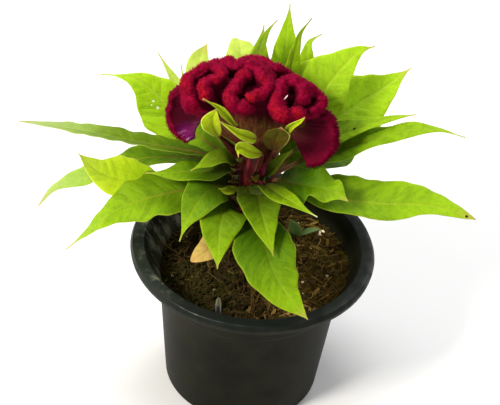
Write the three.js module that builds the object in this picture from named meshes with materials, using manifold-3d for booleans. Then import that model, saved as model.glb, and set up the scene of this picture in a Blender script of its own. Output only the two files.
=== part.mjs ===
// A cockscomb celosia in a 16 cm nursery pot: pot, soil, ribbed stem, folded flower comb and leaves.
// Millimetres, +Z up. The pot stands on z = 0 with its axis on the Z axis, and the plant's front faces -Y.
import * as THREE from 'three';
import { mergeVertices } from 'three/addons/utils/BufferGeometryUtils.js';
import Module from 'manifold-3d';

const wasm = await Module();
wasm.setup();

const fitGap = 0.3; // between pieces that touch

// pot
const potHeight = 116;
const lipRadius = 80;
const lipHeight = 6;
const baseRadius = 54;
const stepHeight = 85; // stacking step on the wall
const stepRadius = 60.6;
const flareFoot = 91; // from here up the wall curves out to the lip
const flareBend = 98;
const potWall = 1.5;
const potFloor = 1.8;
const potSides = 44;
const drainHoles = 6;
const drainRadius = 5;
const drainCircle = 38; // radius of the circle that the drain holes lie on

// soil
const soilLevel = 97; // mean height of its top at the pot's axis
const soilTilt = 5; // how much higher it lies at the right wall than on the axis
const soilCrumb = 0.8; // how far its crumbs rise and sink
const soilColumns = 36;
const soilWallGap = fitGap + 0.1; // the pot's wall is a polygon, a little nearer between its corners
const wellGap = fitGap + 0.3; // around the stem's foot

// seedling beside the stem
const sproutPlace = [29, 30];
const sproutFoot = 88;
const sproutHole = [29.7, 30.9]; // middle of the hole that its stalk stands in
const sproutHoleRadius = 2.2;

// stem
const stemFoot = 69;
const stemTop = 190;
const stemRibs = 9;
const ribRelief = 0.25;

// flower comb
const combSides = 28;
const combTop = 6; // from this row of the body on, its florets point up instead of out
const ruffleStep = 3.5; // between the rows of florets
const floretRelief = 0.45;
const ruffleWeb = 1.4; // half thickness of the web under a ruffle's thick edge

// leaves
const bladeThickness = 0.8;
const bladeStep = 10; // between the rows along a blade
const usualWidest = 0.36; // where a blade is widest, as a share of its length
const usualTaper = 1.7;
const edgeLag = 0.35; // turns by which the waves of one edge follow those of the other
const stalkWidth = 2.6;
const stalkThickness = 2.2;
const stalkExit = 4; // the stalk leaves the stem square to it over this length

const vec = (x, y, z) => new THREE.Vector3(x, y, z);

// ---------------------------------------------------------------- helpers

// Closed skin through rings of equal point counts, first and last ring capped by a fan.
// turned(k, i) says which diagonal the quad of column k and row i uses.
function skin(rings, turned = () => false) {
  const count = rings[0].length;
  const positions = [];
  const triangles = [];
  rings.forEach((ring) => ring.forEach((p) => positions.push(p.x, p.y, p.z)));
  for (let i = 0; i < rings.length - 1; i += 1) {
    for (let k = 0; k < count; k += 1) {
      const a = i * count + k;
      const b = i * count + ((k + 1) % count);
      const c = a + count;
      const d = b + count;
      if (turned(k, i)) {
        triangles.push(a, b, c, b, d, c);
      } else {
        triangles.push(a, b, d, a, d, c);
      }
    }
  }
  [0, rings.length - 1].forEach((i) => {
    const middle = rings[i].reduce((sum, p) => sum.add(p), vec(0, 0, 0)).divideScalar(count);
    const centre = positions.length / 3;
    positions.push(middle.x, middle.y, middle.z);
    for (let k = 0; k < count; k += 1) {
      const a = i * count + k;
      const b = i * count + ((k + 1) % count);
      if (i === 0) {
        triangles.push(centre, b, a);
      } else {
        triangles.push(centre, a, b);
      }
    }
  });
  const geometry = new THREE.BufferGeometry();
  geometry.setAttribute('position', new THREE.Float32BufferAttribute(positions, 3));
  geometry.setIndex(triangles);
  return geometry;
}

// Merges equal vertices, drops the flat triangles left at poles and hands the mesh to manifold-3d.
function toSolid(geometry) {
  const bare = geometry.clone();
  bare.deleteAttribute('normal');
  bare.deleteAttribute('uv');
  const merged = mergeVertices(bare, 1e-4);
  const index = merged.index.array;
  const kept = [];
  for (let i = 0; i < index.length; i += 3) {
    const [a, b, c] = [index[i], index[i + 1], index[i + 2]];
    if (a !== b && b !== c && a !== c) {
      kept.push(a, b, c);
    }
  }
  return new wasm.Manifold(new wasm.Mesh({
    numProp: 3,
    vertProperties: Float32Array.from(merged.attributes.position.array),
    triVerts: Uint32Array.from(kept),
  }));
}

function toGeometry(solid) {
  const mesh = solid.getMesh();
  const geometry = new THREE.BufferGeometry();
  geometry.setAttribute('position', new THREE.BufferAttribute(mesh.vertProperties, 3));
  geometry.setIndex(new THREE.BufferAttribute(mesh.triVerts, 1));
  return geometry;
}

// Upright cylinder that cuts a hole from one height to another.
function drill(x, y, bottom, top, radius, sides) {
  const cylinder = new THREE.CylinderGeometry(radius, radius, top - bottom, sides);
  cylinder.rotateX(Math.PI / 2);
  cylinder.translate(x, y, (bottom + top) / 2);
  return toSolid(cylinder);
}

// Value at t on a row of [t, value] pairs, with straight stretches between them.
function along(pairs, t) {
  const next = pairs.findIndex(([at]) => at >= t);
  if (next === 0) {
    return pairs[0][1];
  }
  if (next < 0) {
    return pairs[pairs.length - 1][1];
  }
  const [t0, v0] = pairs[next - 1];
  const [t1, v1] = pairs[next];
  return v0 + ((v1 - v0) * (t - t0)) / (t1 - t0);
}

const plant = new THREE.Group();

function addPart(name, geometry, colour, roughness) {
  const material = new THREE.MeshStandardMaterial({ color: colour, roughness, metalness: 0 });
  const mesh = new THREE.Mesh(geometry, material);
  mesh.name = name;
  plant.add(mesh);
}

// ---------------------------------------------------------------- pot

// Inner wall from the floor to the lip: height, radius.
const innerWall = [
  [potFloor, baseRadius - potWall],
  [stepHeight, stepRadius - potWall],
  [flareFoot, 60],
  [flareBend, 62.5],
  [104, 66],
  [112, 70],
  [potHeight - 0.5, 71.5],
];

function makePot() {
  const outside = [ // radius, height
    [0, 0],
    [baseRadius - 1, 0],
    [baseRadius, 1],
    [stepRadius, stepHeight],
    [stepRadius + 0.8, stepHeight + 1],
    [62.2, flareFoot + 1],
    [64.2, flareBend],
    [67.6, 103.5],
    [71.5, potHeight - lipHeight],
    [lipRadius, potHeight - lipHeight],
    [lipRadius + 0.5, potHeight - 3],
    [lipRadius - 1, potHeight],
  ];
  const inside = [...innerWall].reverse().map(([z, r]) => [r, z]);
  const profile = [...outside, ...inside, [0, potFloor]].map(([r, z]) => new THREE.Vector2(r, z));
  const shell = new THREE.LatheGeometry(profile, potSides);
  shell.rotateX(Math.PI / 2);
  let pot = toSolid(shell);
  for (let i = 0; i < drainHoles; i += 1) {
    const angle = (i * 2 * Math.PI) / drainHoles;
    const [x, y] = [drainCircle * Math.cos(angle), drainCircle * Math.sin(angle)];
    pot = pot.subtract(drill(x, y, -1, potFloor + 1, drainRadius, 12));
  }
  return toGeometry(pot);
}

// ---------------------------------------------------------------- stem

const stemCentre = (z) => vec(
  along([[stemFoot, 0], [110, -1], [150, -5], [175, -5], [stemTop, -3]], z),
  0,
  z,
);
const stemHalfWidth = (z) => along([[stemFoot, 4.2], [110, 5], [140, 6.2], [165, 7.6], [stemTop, 8.8]], z);
const stemHalfDepth = (z) => along([[stemFoot, 4.2], [110, 4.8], [150, 5.2], [stemTop, 5.4]], z);

function stemRing(z) {
  return Array.from({ length: 2 * stemRibs }, (_, k) => {
    const angle = (k * Math.PI) / stemRibs;
    const relief = k % 2 === 0 ? ribRelief : -ribRelief;
    return stemCentre(z).add(vec(
      (stemHalfWidth(z) + relief) * Math.cos(angle),
      (stemHalfDepth(z) + relief) * Math.sin(angle),
      0,
    ));
  });
}

function makeStem() {
  const levels = [stemFoot, 90, 105, 118, 131, 144, 157, 168, 179, stemTop];
  return skin(levels.map((z) => stemRing(z)));
}

// ---------------------------------------------------------------- soil

function soilTop(x, y) {
  const slope = soilTilt * (x / stepRadius);
  const crumbs = Math.sin(0.43 * x + 0.9) * Math.cos(0.51 * y) + Math.sin(0.93 * x - 0.7 * y);
  return soilLevel + slope + soilCrumb * crumbs;
}

// The soil fills the pot up the wall, lies open on top and has a well for the stem's foot.
function makeSoil() {
  const at = (r, angle, z) => vec(r * Math.cos(angle), r * Math.sin(angle), z);
  const step = (2 * Math.PI) / soilColumns;
  const ring = (pointAt) => Array.from({ length: soilColumns }, (_, k) => pointAt(k * step));
  const onTop = (p) => vec(p.x, p.y, soilTop(p.x, p.y));
  const wallRadius = (z) => along(innerWall, z) - soilWallGap;
  const brim = (angle) => onTop(at(wallRadius(soilLevel), angle, 0)).z;
  const wallAt = (angle, z) => at(wallRadius(z), angle, z);
  const wellRadius = stemHalfWidth(soilLevel) + ribRelief + wellGap;
  const wellAt = (angle, z) => at(wellRadius, angle, z).setX(
    stemCentre(soilLevel).x + wellRadius * Math.cos(angle),
  );
  const shares = [0.86, 0.72, 0.58, 0.44, 0.3, 0.18]; // of the way out from the axis
  const rings = [
    ring((angle) => wallAt(angle, potFloor + fitGap)),
    ring((angle) => wallAt(angle, stepHeight)),
    ring((angle) => wallAt(angle, flareFoot)),
    ring((angle) => wallAt(angle, Math.min(flareBend, (flareFoot + brim(angle)) / 2 + 1))),
    ring((angle) => wallAt(angle, brim(angle))),
    ...shares.map((share) => ring((angle) => onTop(at(share * wallRadius(brim(angle)), angle, 0)))),
    ring((angle) => onTop(wellAt(angle, 0))),
    ring((angle) => wellAt(angle, stemFoot - fitGap)),
  ];
  const hole = drill(...sproutHole, sproutFoot - fitGap, potHeight, sproutHoleRadius, 10);
  return toGeometry(toSolid(skin(rings)).subtract(hole));
}

// ---------------------------------------------------------------- flower comb

// Rows of the fan-shaped body from the stem's top upwards: height, x and y of the middle, half width,
// half depth.
const combRows = [
  [stemTop + fitGap, -3, 0, 8.8, 5.2],
  [195, -3, 0, 14, 6],
  [200, -5, 0, 21, 7.5],
  [207, -7, 0, 30, 9],
  [214, -8, 0, 37, 10.5],
  [221, -9, 1, 40, 11.5],
  [227, -9, 2, 36, 11],
  [231, -9, 2, 25, 8],
  [232, -9, 2, 16, 5],
  [232.5, -9, 2, 7, 2],
];

// Plush ruffles: each follows its edge and runs back towards its heart, from which only the share
// `rooted` of the way is left out. Swell is the radius of the thick edge at both ends.
const ruffles = [
  { // left end
    edge: [[-47, -5, 195], [-53, -5, 200], [-57, -2, 207], [-58, 1, 214], [-57, 3, 222], [-52, 4, 228],
      [-46, 5, 232]],
    heart: [-22, 2, 210],
    rooted: 0.3,
    swell: [2.8, 4],
  },
  { // closed loop at the left
    edge: [[-40, 1, 243], [-33, 2, 244], [-28, 0, 244], [-27, -6, 242], [-32, -9, 240], [-36, -12, 238],
      [-36, -16, 235], [-38, -19, 231], [-42, -18, 229], [-46, -15, 231], [-47, -9, 235], [-45, -4, 239],
      [-40, 1, 242]],
    heart: [-20, 0, 214],
    rooted: 0.45,
    swell: [4.2, 4.2],
  },
  { // back edge, wavy from end to end
    edge: [[-46, 6, 235], [-41, 9, 238], [-36, 12, 240], [-30, 17, 240], [-23, 16, 240], [-18, 8, 242],
      [-15, 17, 240], [-10, 21, 240], [-5, 17, 240], [-1, 8, 241], [3, 15, 238], [8, 16, 236],
      [13, 12, 235], [18, 10, 234], [24, 8, 232], [29, 5, 228]],
    heart: [-6, 4, 212],
    rooted: 0.5,
    swell: [4, 4],
  },
  { // open loop in the middle, its end curled inwards
    edge: [[-11, -16, 237], [-5, -15, 238], [-1, -11, 240], [-2, -5, 243], [-7, 0, 245], [-12, 1, 246],
      [-17, -4, 245], [-21, -10, 242], [-22, -15, 239], [-21, -19, 235], [-17, -21, 231], [-11, -20, 229],
      [-6, -14, 227], [-5, -6, 224]],
    heart: [-9, 0, 212],
    rooted: 0.5,
    swell: [3.2, 4.4],
  },
  { // loop at the right
    edge: [[20, -15, 231], [15, -18, 230], [10, -19, 230], [5, -17, 232], [3, -12, 236], [4, -7, 240],
      [8, -3, 243], [14, -2, 243], [19, -4, 242], [20, -8, 239], [17, -11, 236]],
    heart: [6, 0, 212],
    rooted: 0.5,
    swell: [4.2, 3.4],
  },
  { // small ruffle beside it
    edge: [[20, 1, 240], [25, -2, 239], [30, -3, 236], [33, -5, 233], [30, -8, 230], [25, -11, 228],
      [21, -11, 228]],
    heart: [10, 0, 214],
    rooted: 0.5,
    swell: [3.8, 3.4],
  },
  { // hanging fan at the right end
    edge: [[32, -5, 227], [37, -5, 222], [40, -7, 216], [41, -10, 209], [39, -12, 202], [34, -13, 196],
      [29, -12, 193]],
    heart: [12, -3, 215],
    rooted: 0.25,
    swell: [3.6, 2.6],
  },
];

// Section of a ruffle: a thin web from its root, then the round of the thick edge, given by angles
// about the edge's centre that open towards the web.
const ruffleRound = [-45, -15, 15, 45, 75, 105, 135, 165, 195, 225];

function makeRuffle({ edge, heart, rooted, swell }) {
  const curve = new THREE.CatmullRomCurve3(edge.map((p) => vec(...p)), false, 'centripetal');
  const rows = Math.max(4, Math.round(curve.getLength() / ruffleStep));
  const rings = Array.from({ length: rows + 1 }, (_, i) => {
    const t = i / rows;
    const centre = curve.getPointAt(t);
    const root = vec(...heart).lerp(centre, rooted);
    const out = centre.clone().sub(root).normalize();
    const side = out.clone().cross(curve.getTangentAt(t)).normalize();
    const neck = centre.clone().lerp(root, 0.45);
    const radius = swell[0] + (swell[1] - swell[0]) * t;
    const floret = (k) => ((i + k) % 2 === 0 ? floretRelief : -floretRelief);
    const place = (from, across, up) => from.clone().addScaledVector(side, across).addScaledVector(out, up);
    return [
      place(root, ruffleWeb, 0),
      place(neck, ruffleWeb + floret(0) / 2, 0),
      ...ruffleRound.map((degrees, k) => {
        const angle = THREE.MathUtils.degToRad(degrees);
        const reach = radius + floret(k + 1);
        return place(centre, reach * Math.cos(angle), reach * Math.sin(angle));
      }),
      place(neck, -ruffleWeb - floret(1) / 2, 0),
      place(root, -ruffleWeb, 0),
    ];
  });
  return skin(rings, (k, i) => (i + k) % 2 === 1); // every raised point becomes a floret's peak
}

function makeCrest() {
  const rings = combRows.map(([z, x, y, halfWidth, halfDepth], row) => {
    const onTop = row >= combTop;
    return Array.from({ length: combSides }, (_, k) => {
      const angle = (k * 2 * Math.PI) / combSides;
      const raised = (k + (onTop ? row : 0)) % 2 === 0 ? floretRelief : -floretRelief;
      const outward = onTop || row === 0 ? 0 : raised;
      return vec(
        x + (halfWidth + outward) * Math.cos(angle),
        y + (halfDepth + outward) * Math.sin(angle),
        z + (onTop ? 2 * raised : 0),
      );
    });
  });
  const body = toSolid(skin(rings));
  return toGeometry(ruffles.reduce((comb, ruffle) => comb.add(toSolid(makeRuffle(ruffle))), body));
}

// ---------------------------------------------------------------- leaves

const green = 0x7fa61c;
const shade = 0x4f7a14;
const lemon = 0xb5cc2a;
const straw = 0xc9a24a;
const bluish = 0x6f9a6a;

// from: angle around the stem in degrees and height on it; path: points of the midrib;
// halves: widest reach left and right of the midrib, looking from the stalk to the tip;
// face: the way the upper side looks, at the stalk and at the tip; fold: degrees that each half is lifted;
// wave: rise of the edge, number of waves and start in turns; stalk: its share of the length;
// widest and taper: where the blade is widest and how fast it thins out from there.
const leaves = [
  // left side, from the low front round to the back
  {
    name: 'leaf_left_low', colour: green, from: [205, 160], halves: [17, 17],
    path: [[-28, -4, 165], [-43, -8, 161], [-67, -16, 157], [-88, -24, 150], [-102, -30, 138],
      [-117, -34, 123]],
    face: [[0, -0.4, 0.9], [-0.2, -0.4, 0.9]], fold: 6, wave: [2, 2.5, 0],
    stalk: 0.14, widest: 0.33, taper: 2.5,
  },
  {
    name: 'leaf_left_lemon', colour: lemon, from: [188, 158], halves: [14, 16],
    path: [[-38, 3, 166], [-57, 2, 161], [-75, 0, 158], [-89, -2, 158], [-102, -2, 163],
      [-115, 2, 172]],
    face: [[0, -0.1, 1], [0.5, -0.5, 0.8]], fold: 6, wave: [1.5, 2, 0.5], stalk: 0.3,
  },
  {
    name: 'leaf_left_drooping', colour: green, from: [166, 162], halves: [12, 12],
    path: [[-36, 15, 167], [-59, 22, 162], [-79, 26, 155], [-97, 25, 146], [-112, 22, 140],
      [-124, 18, 137], [-134, 12, 134], [-143, 4, 124]],
    face: [[0, 0, 1], [-0.5, -0.2, 0.8]], fold: 8, wave: [1.5, 3, 0.1], stalk: 0.2,
  },
  {
    name: 'leaf_left_long', colour: shade, from: [180, 177], halves: [12, 12],
    path: [[-32, -2, 184], [-51, 0, 185], [-70, 2, 185], [-102, 6, 186], [-128, 10, 186],
      [-156, 14, 184]],
    face: [[0, 0.3, 1], [0, 0.3, 1]], fold: 10, wave: [1, 3, 0], stalk: 0.14, taper: 1.4,
  },
  {
    name: 'leaf_left_middle', colour: green, from: [206, 175], halves: [9, 9],
    path: [[-19, -9, 181], [-31, -11, 179], [-43, -13, 178], [-56, -15, 177], [-70, -16, 176]],
    face: [[0, -0.2, 1], [0, -0.2, 1]], fold: 6, wave: [1, 2, 0], stalk: 0.2,
  },
  {
    name: 'leaf_left_small', colour: green, from: [222, 184], halves: [6, 7],
    path: [[-22, -13, 192], [-32, -17, 190], [-42, -22, 186]],
    face: [[0, -0.3, 1], [-0.3, -0.3, 1]], fold: 8, wave: [1, 2, 0], stalk: 0.2,
  },
  {
    name: 'leaf_left_behind_crest', colour: green, from: [150, 175], halves: [17, 16],
    path: [[-32, 16, 178], [-45, 22, 184], [-59, 26, 194], [-72, 30, 205], [-82, 32, 211],
      [-94, 34, 212], [-107, 38, 209]],
    face: [[0.2, -0.7, 0.6], [-0.1, -0.9, 0.5]], fold: 6, wave: [1.5, 2, 0.2],
    stalk: 0.16, widest: 0.42, taper: 2.6,
  },
  {
    name: 'leaf_back_left_narrow', colour: green, from: [135, 166], halves: [8, 8],
    path: [[-30, 41, 173], [-48, 48, 186], [-59, 56, 195], [-74, 66, 212]],
    face: [[0.3, -0.8, 0.6], [0.3, -0.8, 0.6]], fold: 15, wave: [1, 2, 0], stalk: 0.2,
  },
  {
    name: 'leaf_back_left_thin', colour: green, from: [125, 150], halves: [7, 7],
    path: [[-30, 50, 165], [-50, 60, 185], [-56, 64, 194], [-59, 69, 203]],
    face: [[0.5, -0.8, 0.4], [0.5, -0.8, 0.4]], fold: 15, wave: [1, 2, 0], stalk: 0.2,
  },
  {
    name: 'leaf_back_left_upright', colour: green, from: [118, 174], halves: [14, 16],
    path: [[-23, 28, 187], [-40, 42, 205], [-46, 52, 217], [-42, 60, 226]],
    face: [[0.1, -0.8, 0.6], [-0.2, -0.9, 0.3]], fold: 8, wave: [1.5, 2, 0],
    stalk: 0.3, widest: 0.5, taper: 1.3,
  },
  // behind the crest
  {
    name: 'leaf_back_rounded', colour: green, from: [104, 163], halves: [15, 15],
    path: [[-10, 32, 184], [-16, 48, 208], [-20, 60, 222], [-22, 70, 225], [-20, 80, 218]],
    face: [[0, -0.8, 0.6], [0, -0.3, 1]], fold: 6, wave: [1, 2, 0], stalk: 0.3, widest: 0.5,
  },
  {
    name: 'leaf_back_slim_left', colour: green, from: [94, 174], halves: [12, 8],
    path: [[-11, 28, 198], [-7, 40, 220], [-7, 48, 234], [-7, 56, 246]],
    face: [[0, -0.8, 0.6], [0, -0.8, 0.4]], fold: 8, wave: [1, 2, 0], stalk: 0.2, widest: 0.5,
  },
  {
    name: 'leaf_back_slim_right', colour: shade, from: [86, 181], halves: [8, 8],
    path: [[-12, 24, 212], [-9, 34, 232], [-7, 38, 242], [-4, 44, 249], [1, 50, 254]],
    face: [[-0.6, -0.6, 0.6], [-0.6, -0.6, 0.4]], fold: 20, wave: [0.5, 2, 0], stalk: 0.2,
  },
  {
    name: 'leaf_back_tallest', colour: green, from: [76, 168], halves: [12, 13],
    path: [[4, 34, 190], [9, 46, 211], [8, 56, 230], [8, 70, 255]],
    face: [[0, -0.8, 0.6], [0, -0.9, 0.5]], fold: 10, wave: [1, 2, 0], stalk: 0.15, widest: 0.45,
  },
  {
    name: 'leaf_back_right_narrow', colour: green, from: [66, 184], halves: [6, 6],
    path: [[9, 23, 205], [12, 32, 226], [14, 37, 241], [16, 43, 250], [22, 49, 258]],
    face: [[0.5, -0.8, 0.6], [0.5, -0.9, 0.4]], fold: 14, wave: [0.5, 2, 0], stalk: 0.2,
  },
  {
    name: 'leaf_back_right_pale', colour: lemon, from: [58, 163], halves: [9, 8],
    path: [[16, 32, 200], [22, 44, 220], [22, 50, 232], [23, 58, 236], [30, 66, 238]],
    face: [[0, -0.8, 0.6], [0, -0.5, 0.9]], fold: 10, wave: [1.5, 2, 0],
    stalk: 0.2, widest: 0.5, taper: 2,
  },
  {
    name: 'leaf_back_low', colour: green, from: [98, 140], halves: [16, 16],
    path: [[-6, 40, 152], [-4, 70, 140], [0, 98, 112]],
    face: [[0, 0.3, 1], [0, 0.6, 0.8]], fold: 8, wave: [2, 2, 0], stalk: 0.2,
  },
  {
    name: 'leaf_back_low_left', colour: green, from: [140, 138], halves: [16, 16],
    path: [[-34, 34, 152], [-62, 58, 142], [-80, 78, 120]],
    face: [[-0.2, 0.2, 1], [-0.3, 0.5, 0.8]], fold: 8, wave: [2, 2, 0.3], stalk: 0.2,
  },
  {
    name: 'leaf_back_low_right', colour: green, from: [44, 152], halves: [16, 16],
    path: [[25, 16, 165], [36, 22, 169], [46, 34, 168], [57, 50, 164], [66, 64, 156]],
    face: [[0.2, 0.2, 1], [0.3, 0.5, 0.8]], fold: 8, wave: [2, 2, 0.6], stalk: 0.2,
  },
  // right side
  {
    name: 'leaf_right_upper', colour: green, from: [44, 178], halves: [24, 16],
    path: [[26, 22, 204], [38, 33, 224], [47, 39, 236], [54, 43, 242], [63, 47, 244]],
    face: [[-0.3, -0.7, 0.7], [-0.1, -0.7, 0.7]], fold: 6, wave: [1.5, 2, 0], stalk: 0.36, taper: 2,
  },
  {
    name: 'leaf_right_broad', colour: green, from: [32, 160], halves: [24, 24],
    path: [[26, 24, 187], [47, 36, 197], [62, 46, 205], [76, 54, 213], [89, 60, 223]],
    face: [[-0.2, -0.7, 0.7], [-0.2, -0.7, 0.7]], fold: 6, wave: [1.5, 2, 0.4],
    stalk: 0.22, widest: 0.45,
  },
  {
    name: 'leaf_right_on_edge', colour: shade, from: [14, 182], halves: [9, 8],
    path: [[26, 8, 191], [41, 11, 197], [53, 13, 202], [65, 14, 208], [76, 15, 213], [91, 15, 218]],
    face: [[-0.5, 0.1, 0.9], [-0.5, 0.5, 0.7]], fold: 14, wave: [1, 2, 0], stalk: 0.2,
  },
  {
    name: 'leaf_right_long', colour: green, from: [4, 173], halves: [11, 11],
    path: [[24, 6, 181], [36, 8, 186], [48, 8, 192], [62, 8, 199], [77, 8, 206], [88, 8, 211],
      [106, 8, 213], [122, 6, 211]],
    face: [[-0.1, -0.2, 1], [0, -0.1, 1]], fold: 8, wave: [1.5, 2.5, 0], stalk: 0.2, taper: 1.9,
  },
  {
    name: 'leaf_right_big', colour: green, from: [-14, 164], halves: [17, 12],
    path: [[16, -6, 170], [32, -10, 170], [54, -14, 170], [78, -20, 174], [101, -26, 181],
      [115, -30, 182], [131, -34, 180]],
    face: [[0, -0.4, 0.9], [0, -0.4, 0.9]], fold: 4, wave: [2.2, 2.5, 0.28],
    stalk: 0.16, widest: 0.4, taper: 1.1,
  },
  // front
  {
    name: 'leaf_front_right_wavy', colour: green, from: [-36, 170], halves: [13, 13],
    path: [[9, -8, 175], [19, -14, 178], [31, -20, 182], [43, -27, 185], [54, -34, 184]],
    face: [[-0.1, -0.4, 0.9], [0.2, -0.4, 0.9]], fold: 14, wave: [2, 2.5, 0],
    stalk: 0.26, widest: 0.5, taper: 1.3,
  },
  {
    name: 'leaf_front_right_twisted', colour: green, from: [-62, 168], halves: [6, 8],
    path: [[4, -16, 176], [12, -27, 179], [23, -38, 181], [36, -48, 181]],
    face: [[0, -0.2, 1], [0.4, -0.4, 0.9]], fold: 15, wave: [1, 1.5, 0], stalk: 0.15,
  },
  {
    name: 'leaf_front_middle', colour: green, from: [-86, 152], halves: [13, 13],
    path: [[-1, -16, 168], [3, -32, 167], [8, -44, 160], [13, -54, 152]],
    face: [[0, 0, 1], [0.1, -0.5, 0.8]], fold: 10, wave: [1, 2, 0], stalk: 0.12,
  },
  {
    name: 'leaf_front_big', colour: green, from: [-80, 136], halves: [17, 20],
    path: [[1, -20, 153], [6, -38, 151], [13, -56, 145], [22, -68, 137], [37, -80, 128]],
    face: [[0, -0.2, 1], [0, -0.5, 0.8]], fold: 5, wave: [1, 2, 0],
    stalk: 0.2, widest: 0.42, taper: 1.4,
  },
  {
    name: 'leaf_front_left', colour: green, from: [-112, 146], halves: [15, 15],
    path: [[-18, -22, 160], [-21, -34, 157], [-21, -44, 148], [-20, -56, 139]],
    face: [[0, -0.2, 1], [0, -0.6, 0.8]], fold: 8, wave: [1, 2, 0], stalk: 0.15,
  },
  {
    name: 'leaf_front_withered', colour: straw, from: [-118, 126], halves: [7, 7],
    path: [[-16, -28, 144], [-25, -40, 143], [-37, -48, 136]],
    face: [[0, -0.4, 0.9], [-0.2, -0.4, 0.9]], fold: 20, wave: [1, 2, 0], stalk: 0.3, widest: 0.5,
  },
  {
    name: 'leaf_front_left_folded', colour: green, from: [-146, 166], halves: [13, 13],
    path: [[-23, -12, 170], [-32, -22, 170], [-38, -30, 164], [-42, -36, 156], [-45, -42, 146]],
    face: [[-0.2, -0.5, 0.8], [-0.2, -0.7, 0.5]], fold: 8, wave: [1, 2, 0], stalk: 0.12, taper: 2.4,
  },
  // small leaves close under the crest
  {
    name: 'bract_folded', colour: lemon, from: [-122, 188], halves: [6, 7],
    path: [[-14, -19, 210], [-18, -35, 231], [-25, -45, 246], [-35, -49, 257]],
    face: [[0.3, -0.8, 0.5], [0.5, -0.8, 0.5]], fold: 18, wave: [0.5, 2, 0], stalk: 0.2, widest: 0.45,
  },
  {
    name: 'bract_broad', colour: lemon, from: [-150, 186], halves: [8, 8],
    path: [[-17, -14, 201], [-23, -23, 213], [-30, -32, 226], [-30, -36, 235], [-27, -40, 244]],
    face: [[-0.2, -0.8, 0.5], [0, -0.9, 0.4]], fold: 6, wave: [0.5, 2, 0],
    stalk: 0.35, widest: 0.6, taper: 1.2,
  },
  {
    name: 'bract_curled', colour: lemon, from: [-106, 187], halves: [5, 5],
    path: [[-7, -22, 210], [-10, -33, 225], [-17, -42, 234], [-26, -49, 243]],
    face: [[0.1, -0.5, 0.9], [0.2, -0.6, 0.7]], fold: 18, wave: [0.5, 2, 0], stalk: 0.25, widest: 0.3,
  },
  {
    name: 'bract_hooked', colour: lemon, from: [-80, 178], halves: [5, 4],
    path: [[1, -26, 204], [-5, -34, 213], [-10, -40, 219], [-13, -43, 222], [-14, -44, 217]],
    face: [[0.2, -0.6, 0.8], [-0.2, -0.8, 0.6]], fold: 12, wave: [0.5, 2, 0], stalk: 0.2, widest: 0.5,
  },
  {
    name: 'bract_right', colour: lemon, from: [-40, 188], halves: [5, 5],
    path: [[14, -12, 206], [17, -28, 228], [19, -41, 240], [22, -46, 248]],
    face: [[-0.2, -0.6, 0.8], [-0.2, -0.6, 0.8]], fold: 12, wave: [0.5, 2, 0],
    stalk: 0.4, widest: 0.45,
  },
  {
    name: 'bract_olive', colour: shade, from: [-58, 184], halves: [9, 7],
    path: [[6, -13, 202], [8, -20, 213], [9, -28, 225]],
    face: [[0, -0.8, 0.5], [0, -0.9, 0.5]], fold: 4, wave: [0.5, 2, 0],
    stalk: 0.2, widest: 0.6, taper: 0.8,
  },
];

// Width along the blade from the stalk (0) to the tip (1), as a share of the widest.
function bladeShare(s, widest, taper) {
  if (s < widest) {
    return Math.sin((Math.PI / 2) * (s / widest)) ** 0.85;
  }
  return Math.cos((Math.PI / 2) * ((s - widest) / (1 - widest))) ** taper;
}

function leafRoot([angle, height], reach) {
  const around = THREE.MathUtils.degToRad(angle);
  const [a, b] = [stemHalfWidth(height) + ribRelief, stemHalfDepth(height) + ribRelief];
  const onStem = stemCentre(height).add(vec(a * Math.cos(around), b * Math.sin(around), 0));
  const outward = vec(Math.cos(around) / a, Math.sin(around) / b, 0).normalize();
  return onStem.addScaledVector(outward, reach);
}

function makeBlade(points, { halves, face, fold, wave, stalk, widest = usualWidest, taper = usualTaper }) {
  const curve = new THREE.CatmullRomCurve3(points, false, 'centripetal');
  const length = curve.getLength();
  const exit = stalkExit / length;
  const stalkRows = Math.max(2, Math.round((stalk * length) / (1.6 * bladeStep)));
  const bladeRows = Math.max(6, Math.round(((1 - stalk) * length) / bladeStep));
  const stops = [
    0,
    exit,
    ...Array.from({ length: stalkRows }, (_, i) => exit + ((stalk - exit) * (i + 1)) / stalkRows),
    ...Array.from({ length: bladeRows }, (_, i) => 1 - ((1 - stalk) * (bladeRows - 1 - i)) / bladeRows),
  ];
  const lift = Math.tan(THREE.MathUtils.degToRad(fold));
  const [rise, waves, start] = wave;
  const rings = stops.map((t) => {
    const middle = curve.getPointAt(t);
    const ahead = curve.getTangentAt(t);
    const up = vec(...face[0]).lerp(vec(...face[1]), t);
    up.addScaledVector(ahead, -up.dot(ahead)).normalize();
    const side = ahead.clone().cross(up);
    const s = Math.max(0, (t - stalk) / (1 - stalk));
    const share = s > 0 && s < 1 ? bladeShare(s, widest, taper) : 0;
    const stalky = Math.max(0, 1 - 3 * share) * (1 - s) ** 3; // 1 along the stalk, 0 along the blade
    const thickness = bladeThickness + (stalkThickness - bladeThickness) * stalky;
    const upper = [-1, -0.5, 0, 0.5, 1].map((q) => {
      const half = Math.max(halves[q < 0 ? 0 : 1] * share, 0.5 * stalkWidth * (1 - 0.7 * s));
      const turn = 2 * Math.PI * (waves * s + start + (q < 0 ? edgeLag : 0));
      const raised = Math.abs(q) * half * lift * share + q * q * rise * share * Math.sin(turn);
      return middle.clone().addScaledVector(side, q * half).addScaledVector(up, raised);
    });
    const lower = upper.map((p) => p.clone().addScaledVector(up, -thickness));
    return [...upper, ...lower.reverse()];
  });
  return skin(rings, (k) => k > 4);
}

const sprout = {
  path: [[...sproutPlace, sproutFoot], [...sproutPlace, 100], [27, 30, 107], [23, 29, 114]],
  halves: [3.5, 3.5], face: [[-0.6, -0.8, 0.2], [-0.6, -0.8, 0.2]], fold: 12, wave: [0.3, 2, 0],
  stalk: 0.45,
};

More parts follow.
